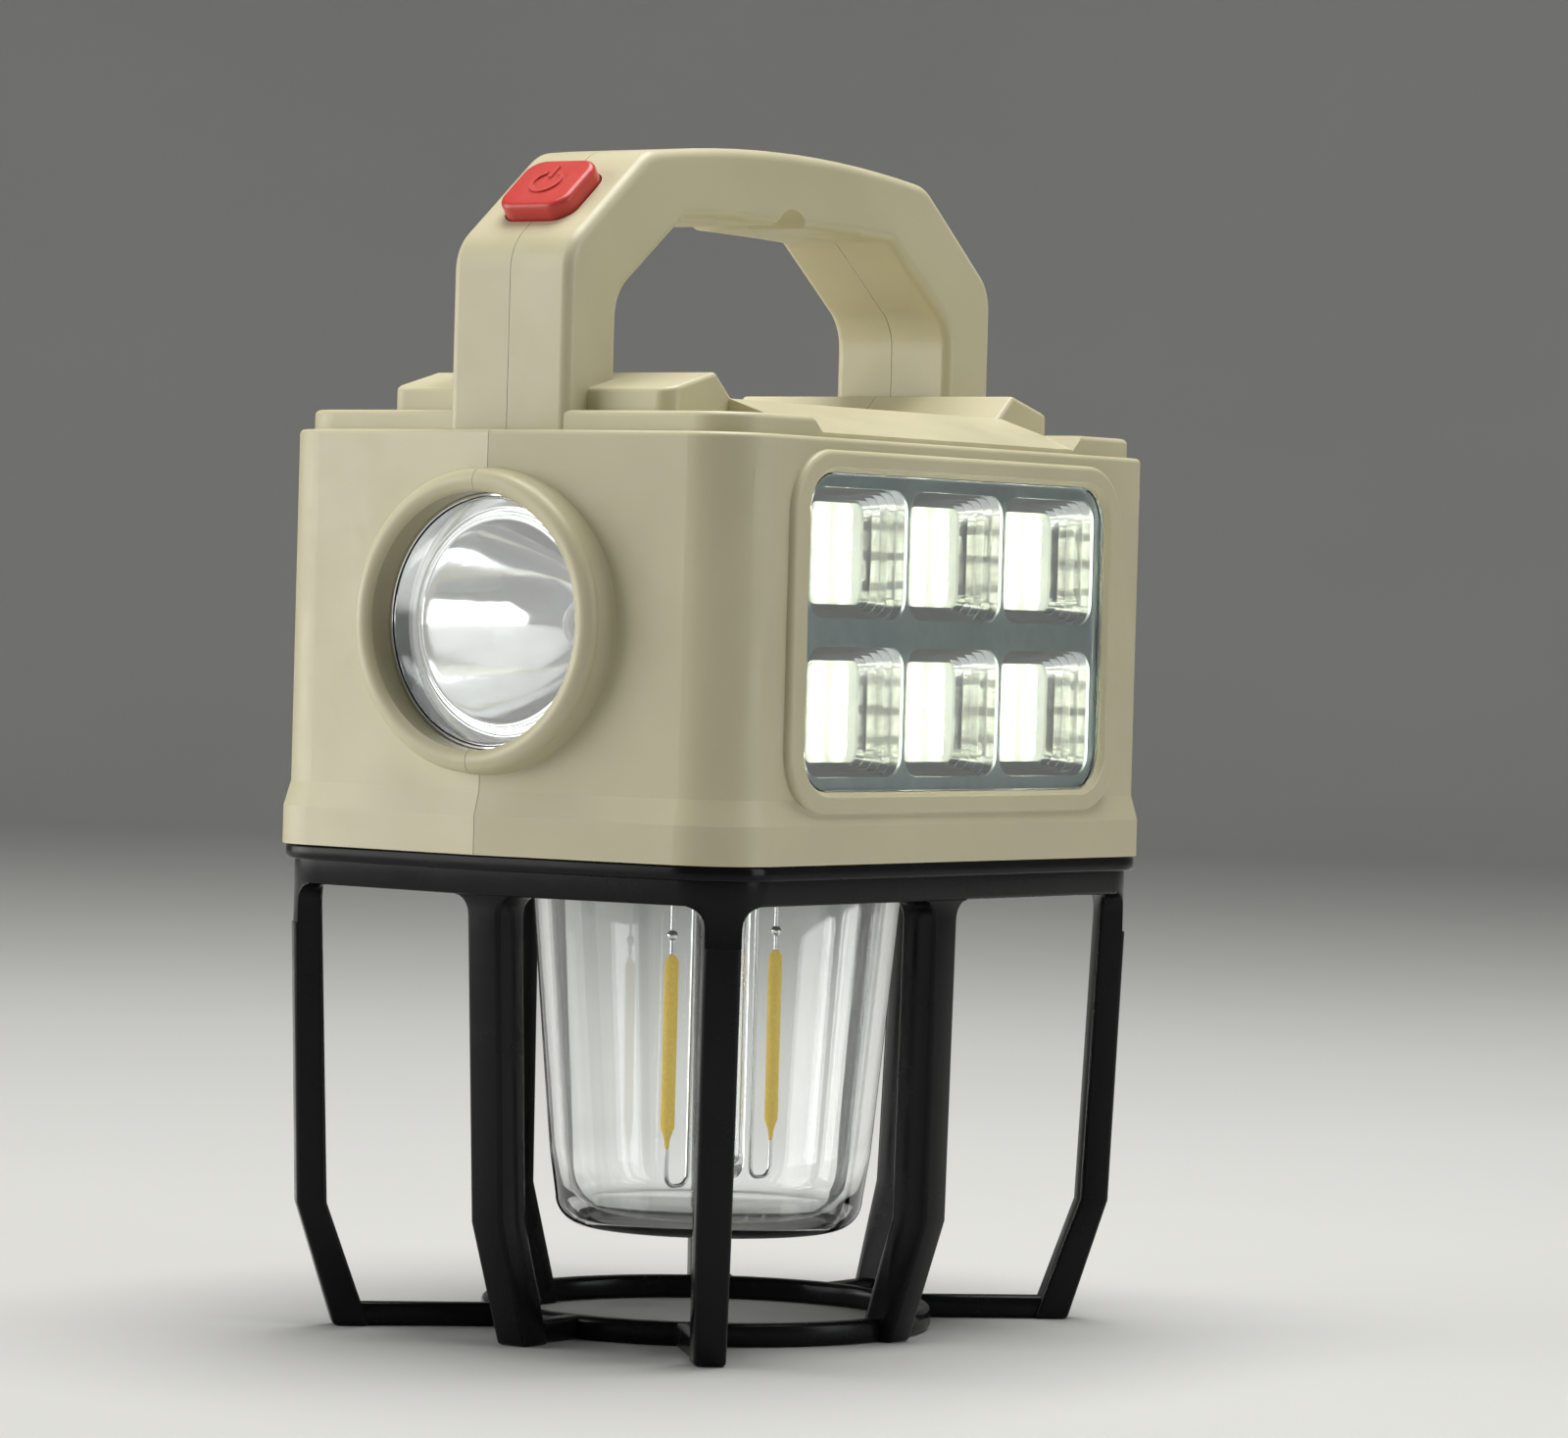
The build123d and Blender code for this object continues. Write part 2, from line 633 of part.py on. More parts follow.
# ---------------------------------------------------------------- torch, -Y
TORCH_RIM = -Y_TORCH_RIM
TORCH_BACK = -Y_TORCH_BACK
REFLECTOR_T = 1.2
torch_axis = Axis((0, 0, Z_TORCH), (0, -1, 0))

with BuildPart() as torch_lens:
    with BuildSketch(torch_plane.offset(TORCH_RIM - 1.6)):
        Circle(BEZEL_BORE_R - 0.1)
    extrude(amount=1.6)
    fillet(torch_lens.edges().sort_by(Axis.Y)[0], 0.4)
keep(torch_lens, "torch_lens")

RIM_BACK = TORCH_RIM - 1.6
bowl_depth = TORCH_RIM - TORCH_STEP_DEPTH - TORCH_BACK
with BuildPart() as torch_reflector:
    # half section: stepped rim, then a paraboloid bowl down to the LED's hole
    with BuildSketch(Plane(origin=(0, 0, Z_TORCH), x_dir=(1, 0, 0), z_dir=(0, 0, 1))):
        with BuildLine():
            bowl = Spline(
                (TORCH_STEP_R, -(TORCH_BACK + bowl_depth)),
                (TORCH_HOLE_R + (TORCH_STEP_R - TORCH_HOLE_R) * 0.775, -(TORCH_BACK + bowl_depth * 0.6)),
                (TORCH_HOLE_R + (TORCH_STEP_R - TORCH_HOLE_R) * 0.447, -(TORCH_BACK + bowl_depth * 0.2)),
                (TORCH_HOLE_R, -TORCH_BACK),
            )
            Polyline(
                bowl @ 1,
                (TORCH_HOLE_R, -TORCH_BACK + 1.4),
                (TORCH_STEP_R + REFLECTOR_T, -TORCH_BACK + 1.4),
                (BEZEL_BORE_R - 0.1, -(TORCH_BACK + bowl_depth) + 1.2),
                (BEZEL_BORE_R - 0.1, -RIM_BACK),
                (BEZEL_BORE_R - 0.9, -RIM_BACK),
                (TORCH_STEP_R + 1.6, -(TORCH_BACK + bowl_depth) - 0.3),
                bowl @ 0,
            )
        make_face()
    revolve(axis=torch_axis)
keep(torch_reflector, "torch_reflector")

with BuildPart() as torch_board:
    with BuildSketch(torch_plane.offset(TORCH_BACK - 1.4)):
        RegularPolygon(10, 6)
    extrude(amount=-1.6)
keep(torch_board, "torch_board")

with BuildPart() as torch_led:
    with BuildSketch(torch_plane.offset(TORCH_BACK - 1.4)):
        Rectangle(5.0, 5.0)
    extrude(amount=0.9)
    with BuildSketch(torch_plane.offset(TORCH_BACK - 0.5)):
        Circle(1.8)
    extrude(amount=1.2)
    fillet(torch_led.edges().sort_by(Axis.Y)[0], 1.0)
keep(torch_led, "torch_led")

# ---------------------------------------------------------------- power and charging
CELL_R = 9.2
CELL_L = 65.0
BATTERY_Z = 98.5
BATTERY_Y = (14.0, 33.6)
with BuildPart() as battery_cells:
    for y in BATTERY_Y:
        with Locations(Location((0, y, BATTERY_Z), (0, 90, 0))):
            Cylinder(CELL_R, CELL_L)
        with Locations(Location((CELL_L / 2 + 0.5, y, BATTERY_Z), (0, 90, 0))):
            Cylinder(3.0, 1.0)
keep(battery_cells, "battery_cells")

with BuildPart() as battery_holder:
    with BuildSketch(Plane.XY.offset(BATTERY_Z - CELL_R - 1.8)):
        with Locations((0, sum(BATTERY_Y) / 2)):
            Rectangle(CELL_L + 8, 43)
    extrude(amount=9)
    for y in BATTERY_Y:
        with Locations(Location((0, y, BATTERY_Z), (0, 90, 0))):
            Cylinder(CELL_R, CELL_L + 2, mode=Mode.SUBTRACT)
keep(battery_holder, "battery_holder")

Z_BOARD = Z_PORT - 2.3
Y_SOCKET_FACE = PORT_PAD_Y - PORT_DEPTH - 3.9
with BuildPart() as main_board:
    with BuildSketch(Plane.XY.offset(Z_BOARD - 1.6)):
        with Locations((0, Y_SOCKET_FACE - 24)):
            Rectangle(58, 44)
    extrude(amount=1.6)
keep(main_board, "main_board")

with BuildPart() as charge_socket:
    with BuildSketch(Plane.XZ.offset(-Y_SOCKET_FACE)):
        with Locations((SOCKET_X, Z_BOARD + 1.9)):
            RectangleRounded(9.0, 3.2, 1.4)
            RectangleRounded(8.4, 2.6, 1.2, mode=Mode.SUBTRACT)
    extrude(amount=7.2)
    with BuildSketch(Plane.XZ.offset(-Y_SOCKET_FACE + 6.4)):
        with Locations((SOCKET_X, Z_BOARD + 1.9)):
            RectangleRounded(9.0, 3.2, 1.4)
    extrude(amount=0.8)
    with BuildSketch(Plane.XZ.offset(-Y_SOCKET_FACE + 1.2)):
        with Locations((SOCKET_X, Z_BOARD + 1.9)):
            Rectangle(6.6, 0.7)
    extrude(amount=5.4)
    with BuildSketch(Plane.XY.offset(Z_BOARD)):
        with Locations((SOCKET_X, Y_SOCKET_FACE - 4.5)):
            Rectangle(8.0, 5.0)
    extrude(amount=0.35)
keep(charge_socket, "charge_socket")

with BuildPart() as charge_lights:
    with BuildSketch(Plane.XZ.offset(-PORT_PAD_Y + PORT_DEPTH)):
        with Locations(*[(x, Z_PORT) for x in LIGHT_X]):
            Circle(LIGHT_R)
    extrude(amount=3.2)
keep(charge_lights, "charge_lights")

# Port cover: a rubber flap hinged along its lower edge on a thin strip
with BuildPart() as port_cover:
    with BuildSketch(Plane.XZ.offset(-PORT_PAD_Y)):
        with Locations((0, Z_PORT)):
            RectangleRounded(COVER_X, COVER_Z, 2.1)
    extrude(amount=COVER_T)
    fillet(port_cover.faces().sort_by(Axis.Y)[-1].edges(), 0.6)
    with BuildSketch(Plane.XZ.offset(-PORT_PAD_Y)):
        with Locations((0, Z_PORT + COVER_Z / 2 - 1.6)):
            RectangleRounded(9, 1.6, 0.7)
    extrude(amount=-TAB_T)
keep(port_cover, "port_cover")

# ---------------------------------------------------------------- globe and lamp
with BuildPart() as base_deck:
    with BuildSketch(Plane.XY.offset(Z_FLANGE)):
        add(DECK_FACE)
        Circle(GLOBE_TOP_R + 0.7, mode=Mode.SUBTRACT)
        with Locations(*CAGE_SCREWS):
            Circle(SCREW_R, mode=Mode.SUBTRACT)
    extrude(amount=DECK_T)
keep(base_deck, "base_deck")

SEAL_T = 1.2
Z_GLOBE_FLANGE = Z_DECK + SEAL_T
FLANGE_T = 2.2
with BuildPart() as globe_seal:
    with BuildSketch(Plane.XY.offset(Z_DECK)):
        Circle(GLOBE_FLANGE_R)
        Circle(GLOBE_TOP_R + 0.7, mode=Mode.SUBTRACT)
    extrude(amount=SEAL_T)
keep(globe_seal, "globe_seal")

with BuildPart() as globe:
    with BuildSketch(Plane.XZ) as section:
        with BuildLine():
            Polyline(
                (0, Z_GLOBE_BOTTOM),
                (GLOBE_BOTTOM_R - 0.6, Z_GLOBE_BOTTOM),
                (GLOBE_TOP_R, Z_GLOBE_FLANGE),
                (GLOBE_FLANGE_R, Z_GLOBE_FLANGE),
                (GLOBE_FLANGE_R, Z_GLOBE_FLANGE + FLANGE_T),
                (GLOBE_TOP_R - GLOBE_WALL, Z_GLOBE_FLANGE + FLANGE_T),
                (GLOBE_BOTTOM_R - GLOBE_WALL - 0.5, Z_GLOBE_BOTTOM + 3.2),
                (0, Z_GLOBE_BOTTOM + 3.2),
                close=True,
            )
        make_face()
        outer_corner = section.vertices().sort_by_distance((GLOBE_BOTTOM_R, 0, Z_GLOBE_BOTTOM))[0]
        fillet(outer_corner, GLOBE_CORNER_R)
        inner_corner = section.vertices().sort_by_distance((GLOBE_BOTTOM_R - 3, 0, Z_GLOBE_BOTTOM + 3.2))[0]
        fillet(inner_corner, 2.6)
    revolve(axis=Axis.Z)
keep(globe, "globe")

Z_LAMP_BASE = Z_GLOBE_FLANGE + FLANGE_T
with BuildPart() as lamp_base:
    with BuildSketch(Plane.XY.offset(Z_LAMP_BASE)):
        Circle(GLOBE_FLANGE_R)
    extrude(amount=LAMP_BASE_T)
    with BuildSketch(Plane.XY.offset(Z_LAMP_BASE)):
        Circle(12)
    extrude(amount=-5, taper=12)
keep(lamp_base, "lamp_base")

Z_SOCKET = Z_LAMP_BASE - 5
with BuildPart() as filament_stem:
    with BuildSketch(Plane.XY.offset(Z_STEM_BOTTOM)):
        with Locations((LAMP_X, 0)):
            Circle(STEM_R)
    extrude(amount=Z_SOCKET - Z_STEM_BOTTOM)
    fillet(filament_stem.edges().group_by(Axis.Z)[0], 2.0)
keep(filament_stem, "filament_stem")

with BuildPart() as filaments:
    for side in (-1, 1):
        with Locations((LAMP_X, side * FILAMENT_Y, (Z_FILAMENT_LOW + Z_FILAMENT_HIGH) / 2)):
            Cylinder(FILAMENT_R, Z_FILAMENT_HIGH - Z_FILAMENT_LOW)
keep(filaments, "filaments")

# each filament hangs on a straight lead; from its lower end a hooked lead comes back up to the base
with BuildPart() as filament_leads:
    for side in (-1, 1):
        lower_end = (LAMP_X, side * FILAMENT_Y, Z_FILAMENT_LOW)
        with BuildLine():
            FilletPolyline(
                lower_end,
                (LAMP_X, side * FILAMENT_Y, Z_LEAD_LOW),
                (LAMP_X, side * LEAD_Y, Z_LEAD_LOW),
                (LAMP_X, side * LEAD_Y, Z_LAMP_BASE),
                radius=2.0,
            )
        with BuildSketch(Plane(origin=lower_end, z_dir=(0, 0, -1))):
            Circle(LEAD_R)
        sweep()
        with BuildSketch(Plane.XY.offset(Z_FILAMENT_HIGH)):
            with Locations((LAMP_X, side * FILAMENT_Y)):
                Circle(LEAD_R)
        extrude(amount=Z_LAMP_BASE - Z_FILAMENT_HIGH)
    add(lamp_base.part, mode=Mode.SUBTRACT)
keep(filament_leads, "filament_leads")

# ---------------------------------------------------------------- cage
with BuildPart() as cage_crown:
    with BuildSketch(Plane.XY.offset(Z_LIP)):
        add(FLANGE_FACE)
        add(CROWN_HOLE_FACE, mode=Mode.SUBTRACT)
    extrude(amount=LIP_T)
    with BuildSketch(Plane.XY.offset(Z_WINDOW)):
        add(CROWN_FACE)
        add(CROWN_HOLE_FACE, mode=Mode.SUBTRACT)
    extrude(amount=Z_LIP - Z_WINDOW)
    # corner pads for the cage screws
    with BuildSketch(Plane.XY.offset(Z_LIP)):
        add(CROWN_FACE)
        Rectangle(BODY_X, 84, mode=Mode.SUBTRACT)
        Rectangle(58, BODY_Y + 20, mode=Mode.SUBTRACT)
        with Locations(*CAGE_SCREWS):
            Circle(SCREW_R, mode=Mode.SUBTRACT)
    extrude(amount=LIP_T)
keep(cage_crown, "cage_crown")

with BuildPart() as cage_screws:
    for x, y in CAGE_SCREWS:
        with Locations(Location((x, y, Z_LIP), (180, 0, 0))):
            add(screw(CAGE_SCREW_L))
keep(cage_screws, "cage_screws")


def leg(points, depths, widths, angle, label):
    """One cage leg: sections at its top, bend and foot, the outer face through points, facing along angle."""
    out = (cos(radians(angle)), sin(radians(angle)))
    with BuildPart() as one:
        for (x, y), z, depth, width in zip(points, (Z_WINDOW, Z_BEND, 0), depths, widths):
            centre = (x - out[0] * depth / 2, y - out[1] * depth / 2)
            with BuildSketch(Plane.XY.offset(z)):
                with Locations(Location(centre, angle)):
                    Rectangle(depth, width)
        loft(ruled=True)
    keep(one, label)


for name, sx, sy in (("rear_right", 1, 1), ("rear_left", -1, 1), ("front_left", -1, -1), ("front_right", 1, -1)):
    corner = [(sx * x, sy * y) for x, y in (CORNER_TOP, CORNER_BEND, CORNER_FOOT)]
    leg(corner, CORNER_LEG_T, CORNER_LEG_W, degrees(atan2(sy, sx)), "cage_leg_" + name)
for name, sy in (("front", -1), ("rear", 1)):
    leg([(0, sy * y) for y in FRONT_Y], MID_LEG_T, MID_LEG_W, 90 * sy, "cage_leg_" + name)
for name, sx in (("left", -1), ("right", 1)):
    leg([(sx * x, 0) for x in SIDE_X], MID_LEG_T, MID_LEG_W, 90 - 90 * sx, "cage_leg_" + name)

side_feet = [piece for piece in pieces if piece.label in ("cage_leg_left", "cage_leg_right")]
with BuildPart() as cage_foot_ring:
    with BuildSketch():
        Circle(RING_R)
        Circle(RING_R - RING_T, mode=Mode.SUBTRACT)
    extrude(amount=RING_H)
    for foot in side_feet:
        add(foot, mode=Mode.SUBTRACT)
keep(cage_foot_ring, "cage_foot_ring")

all_feet = [piece for piece in pieces if piece.label.startswith("cage_leg")]
with BuildPart() as cage_spokes:
    for sx, sy in ((1, 1), (-1, 1), (-1, -1), (1, -1)):
        inwards = 2 + SPOKE_L / 2 * sin(radians(45))
        middle = (sx * (CORNER_FOOT[0] - inwards), sy * (CORNER_FOOT[1] - inwards))
        with BuildSketch():
            with Locations(Location(middle, degrees(atan2(sy, sx)))):
                Rectangle(SPOKE_L, SPOKE_W)
        extrude(amount=RING_H)
    for sy in (-1, 1):
        with BuildSketch():
            with Locations((0, sy * (FRONT_Y[2] + RING_R - 4) / 2)):
                Rectangle(SPOKE_W, FRONT_Y[2] - RING_R - 3)
        extrude(amount=RING_H)
    with BuildSketch():
        Circle(RING_R)
    extrude(amount=RING_H, mode=Mode.SUBTRACT)
    for foot in all_feet:
        add(foot, mode=Mode.SUBTRACT)
keep(cage_spokes, "cage_spokes")

os.makedirs("parts", exist_ok=True)
for piece in pieces:
    export_step(piece, "parts/" + piece.label + ".step")
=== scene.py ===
"""Camping lantern: the looks of a lantern model, built around its fixed frame.

The frame gives the moulded body, the handle and everything that moves. This file dresses those parts and
adds finer pieces where the frame's solids are plain: the guard cage, the globe and its filament lamp, the
torch and the flood light's lens and cells. The solar panel's wafers are drawn in its material.

Sizes are in millimetres, turned into metres by MM where Blender needs them. The lantern stands on z = 0
with its axis on the origin, the torch towards -Y and the flood light towards +X.
"""

import logging
import math
from collections.abc import Callable, Iterable, Iterator, Sequence
from contextlib import contextmanager
from dataclasses import dataclass
from enum import Enum

import bmesh
import bpy
from mathutils import Matrix, Vector

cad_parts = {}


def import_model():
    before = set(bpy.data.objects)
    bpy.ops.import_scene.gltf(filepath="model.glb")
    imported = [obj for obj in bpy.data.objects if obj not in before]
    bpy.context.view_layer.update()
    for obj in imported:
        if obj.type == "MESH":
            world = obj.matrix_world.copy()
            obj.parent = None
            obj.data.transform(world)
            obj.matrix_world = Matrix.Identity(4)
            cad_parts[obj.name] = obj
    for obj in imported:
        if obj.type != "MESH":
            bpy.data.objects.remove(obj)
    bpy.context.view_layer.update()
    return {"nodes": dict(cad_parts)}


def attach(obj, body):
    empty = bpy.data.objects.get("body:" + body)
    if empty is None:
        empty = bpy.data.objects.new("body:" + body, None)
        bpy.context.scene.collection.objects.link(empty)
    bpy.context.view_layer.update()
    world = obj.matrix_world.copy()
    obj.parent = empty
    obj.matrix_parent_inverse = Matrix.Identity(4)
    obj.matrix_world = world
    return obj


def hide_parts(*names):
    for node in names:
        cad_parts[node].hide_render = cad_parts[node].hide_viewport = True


LOG = logging.getLogger("lantern")
MM = 0.001
FULL_TURN = 2 * math.pi
QUARTER_TURN = math.pi / 2
CLOSE = 1e-6
CORNERS = ((1, 1), (-1, 1), (-1, -1), (1, -1))
FIXED_BODY = "root"

Point = tuple[float, float, float]
Pair = tuple[float, float]
Profile = list[Pair]
Colour = tuple[float, float, float, float]
Piece = bpy.types.Object
Socket = bpy.types.NodeSocket


class Kind(Enum):
    """What is picked in a mesh being edited, under the name that Blender gives it."""

    VERTEX = "VERT"
    EDGE = "EDGE"
    FACE = "FACE"


# ------------------------------------------------------------------ mesh bench


def mm(*values: float) -> Vector:
    """A vector given in millimetres, in metres."""
    return Vector(values) * MM


def activate(piece: Piece) -> None:
    """Make piece the only selected object and the active one.

    Args:
        piece: the object.
    """
    bpy.ops.object.select_all(action="DESELECT")
    piece.select_set(True)
    bpy.context.view_layer.objects.active = piece


@contextmanager
def editing(piece: Piece) -> Iterator[None]:
    """Edit piece's mesh, with nothing selected at the start.

    Args:
        piece: the object.

    Yields:
        Nothing; edit mode ends with the block.
    """
    activate(piece)
    bpy.ops.object.mode_set(mode="EDIT")
    bpy.ops.mesh.select_mode(type="VERT")
    bpy.ops.mesh.select_all(action="DESELECT")
    try:
        yield
    finally:
        bpy.ops.object.mode_set(mode="OBJECT")


def pick(kind: Kind, test: Callable[[object], bool]) -> int:
    """Select only what passes a test, in the mesh being edited.

    Args:
        kind: what sort of thing is picked.
        test: what says whether one vertex, edge or face is picked.

    Returns:
        How many were picked.
    """
    bpy.ops.mesh.select_mode(type=kind.value)
    bpy.ops.mesh.select_all(action="DESELECT")
    mesh = bmesh.from_edit_mesh(bpy.context.edit_object.data)
    items = {Kind.VERTEX: mesh.verts, Kind.EDGE: mesh.edges, Kind.FACE: mesh.faces}[kind]
    chosen = [item for item in items if test(item)]
    for item in chosen:
        item.select_set(True)
    mesh.select_flush_mode()
    bmesh.update_edit_mesh(bpy.context.edit_object.data)
    return len(chosen)


def centre_of(item: object) -> Vector:
    """Middle of an edge or a face of the mesh being edited."""
    corners = [v.co for v in item.verts]
    return sum(corners, Vector()) / len(corners)


def move(offset: Sequence[float]) -> None:
    """Move the selection by an offset in metres."""
    bpy.ops.transform.translate(value=tuple(offset))


def scale(factors: Sequence[float], about: Sequence[float]) -> None:
    """Scale the selection about a point in metres."""
    bpy.ops.transform.resize(value=tuple(factors), center_override=tuple(about))


def extrude(offset: Sequence[float]) -> None:
    """Extrude the selected faces or edges by an offset in metres."""
    bpy.ops.mesh.extrude_region_move(TRANSFORM_OT_translate={"value": tuple(offset)})


def tidy_shell(distance: float = CLOSE) -> None:
    """Merge doubles of the mesh being edited and turn its faces outwards.

    Args:
        distance: how near two doubles lie, in metres.
    """
    bpy.ops.mesh.select_all(action="SELECT")
    bpy.ops.mesh.remove_doubles(threshold=distance)
    bpy.ops.mesh.normals_make_consistent(inside=False)


def apply_modifier(piece: Piece, kind: str, **settings: object) -> None:
    """Add a modifier to piece and apply it.

    Args:
        piece: the object.
        kind: the modifier's type, such as "BEVEL".
        settings: the modifier's properties.
    """
    activate(piece)
    modifier = piece.modifiers.new(kind.lower(), kind)
    for name, value in settings.items():
        setattr(modifier, name, value)
    bpy.ops.object.modifier_apply(modifier=modifier.name)


def round_edges(piece: Piece, radius: float, segments: int = 3, angle: float = 35.0) -> None:
    """Bevel the sharp edges of piece.

    Args:
        piece: the object.
        radius: the bevel's width, in millimetres.
        segments: how many faces make the round.
        angle: edges sharper than this many degrees are bevelled.
    """
    apply_modifier(
        piece,
        "BEVEL",
        width=radius * MM,
        segments=segments,
        limit_method="ANGLE",
        angle_limit=math.radians(angle),
        harden_normals=False,
    )


def smooth(piece: Piece, angle: float = 38.0) -> None:
    """Shade piece smooth, but keep edges sharper than angle degrees crisp."""
    activate(piece)
    bpy.ops.object.shade_smooth_by_angle(angle=math.radians(angle))


def settle(piece: Piece) -> None:
    """Put piece's place into its mesh, so that its object sits at the origin."""
    activate(piece)
    bpy.ops.object.transform_apply(location=True, rotation=True, scale=True)


def block(name: str, size: Sequence[float], centre: Sequence[float]) -> Piece:
    """A box to start a piece from.

    Args:
        name: the piece's name.
        size: its three sides, in millimetres.
        centre: its middle, in millimetres.

    Returns:
        The object, with its place in its mesh.
    """
    bpy.ops.mesh.primitive_cube_add(size=1, location=mm(*centre), scale=mm(*size))
    piece = bpy.context.active_object
    piece.name = name
    settle(piece)
    return piece


def lathe(name: str, profile: Sequence[Pair], steps: int = 96) -> Piece:
    """A turned piece: a profile of (radius, height) points spun about Z.

    Args:
        name: the piece's name.
        profile: points in millimetres, in order, from the axis back to the axis or all the way round.
        steps: how many faces go round.

    Returns:
        The turned object.
    """
    first = profile[0]
    bpy.ops.mesh.primitive_plane_add(size=MM, location=mm(first[0], 0, first[1]))
    piece = bpy.context.active_object
    piece.name = name
    settle(piece)
    with editing(piece):
        bpy.ops.mesh.select_all(action="SELECT")
        bpy.ops.mesh.merge(type="CENTER")
        for (r0, z0), (r1, z1) in zip(profile, profile[1:]):
            offset = tuple(mm(r1 - r0, 0, z1 - z0))
            bpy.ops.mesh.extrude_vertices_move(TRANSFORM_OT_translate={"value": offset})
        bpy.ops.mesh.select_all(action="SELECT")
        bpy.ops.mesh.spin(steps=steps, angle=FULL_TURN, center=(0, 0, 0), axis=(0, 0, 1))
        tidy_shell()
    return piece


def turn(piece: Piece, matrix: Matrix) -> None:
    """Move piece by a matrix and put that into its mesh."""
    piece.matrix_world = matrix @ piece.matrix_world
    settle(piece)


def arc(centre: Pair, radius: float, start: float, end: float, steps: int) -> Profile:
    """Points on an arc, in a profile's plane.

    Args:
        centre: the arc's centre.
        radius: its radius.
        start: the first point's angle in degrees.
        end: the last point's angle in degrees.
        steps: how many chords it has.

    Returns:
        The points, both ends among them.
    """
    angles = [math.radians(start + (end - start) * i / steps) for i in range(steps + 1)]
    return [(centre[0] + radius * math.cos(a), centre[1] + radius * math.sin(a)) for a in angles]


def wire(name: str, route: Sequence[Point], radius: float, bend: float) -> Piece:
    """A round wire along a route, with rounded corners.

    Args:
        name: the piece's name.
        route: its points, in millimetres.
        radius: the wire's radius, in millimetres.
        bend: the radius of its corners, in millimetres.

    Returns:
        The wire as a mesh.
    """
    bpy.ops.mesh.primitive_plane_add(size=MM, location=mm(*route[0]))
    path = bpy.context.active_object
    path.name = name
    settle(path)
    with editing(path):
        bpy.ops.mesh.select_all(action="SELECT")
        bpy.ops.mesh.merge(type="CENTER")
        for start, end in zip(route, route[1:]):
            offset = tuple(mm(*end) - mm(*start))
            bpy.ops.mesh.extrude_vertices_move(TRANSFORM_OT_translate={"value": offset})
        ends = (mm(*route[0]), mm(*route[-1]))
        if pick(Kind.VERTEX, lambda v: all((v.co - end).length > CLOSE for end in ends)):
            bpy.ops.mesh.bevel(offset=bend * MM, segments=5, affect="VERTICES")
    activate(path)
    bpy.ops.object.convert(target="CURVE")
    path = bpy.context.active_object
    path.data.bevel_depth = radius * MM
    path.data.bevel_resolution = 4
    path.data.use_fill_caps = True
    bpy.ops.object.convert(target="MESH")
    return bpy.context.active_object


def join(pieces: Sequence[Piece], name: str) -> Piece:
    """Join several objects into one, with their shells left apart.

    Args:
        pieces: the objects.
        name: the joined object's name.

    Returns:
        The joined object.
    """
    bpy.ops.object.select_all(action="DESELECT")
    for piece in pieces:
        piece.select_set(True)
    bpy.context.view_layer.objects.active = pieces[0]
    bpy.ops.object.join()
    pieces[0].name = name
    return pieces[0]


def weld(pieces: Sequence[Piece], name: str) -> Piece:
    """Unite several closed shells into one shell.

    Args:
        pieces: the objects, each a closed shell.
        name: the united object's name.

    Returns:
        The united object.
    """
    whole, *others = pieces
    for other in others:
        apply_modifier(whole, "BOOLEAN", operation="UNION", solver="EXACT", object=other)
        bpy.data.objects.remove(other)
    whole.name = name
    with editing(whole):
        tidy_shell(2e-7)
    return whole


def seat(
    piece: Piece, material: bpy.types.Material, replaces: Iterable[str] = ()
) -> Piece:
    """Give a finished piece its material and its place on the fixed body, and hide the frame's nodes that
    it stands for.

    Args:
        piece: the object, with its place in its mesh.
        material: its material.
        replaces: the frame's nodes that it stands for.

    Returns:
        The piece.
    """
    piece.data.materials.clear()
    piece.data.materials.append(material)
    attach(piece, FIXED_BODY)
    names = list(replaces)
    if names:
        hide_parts(*names)
    LOG.info("piece %s: %d faces, on %s", piece.name, len(piece.data.polygons), FIXED_BODY)
    return piece


# ------------------------------------------------------------------ material bench


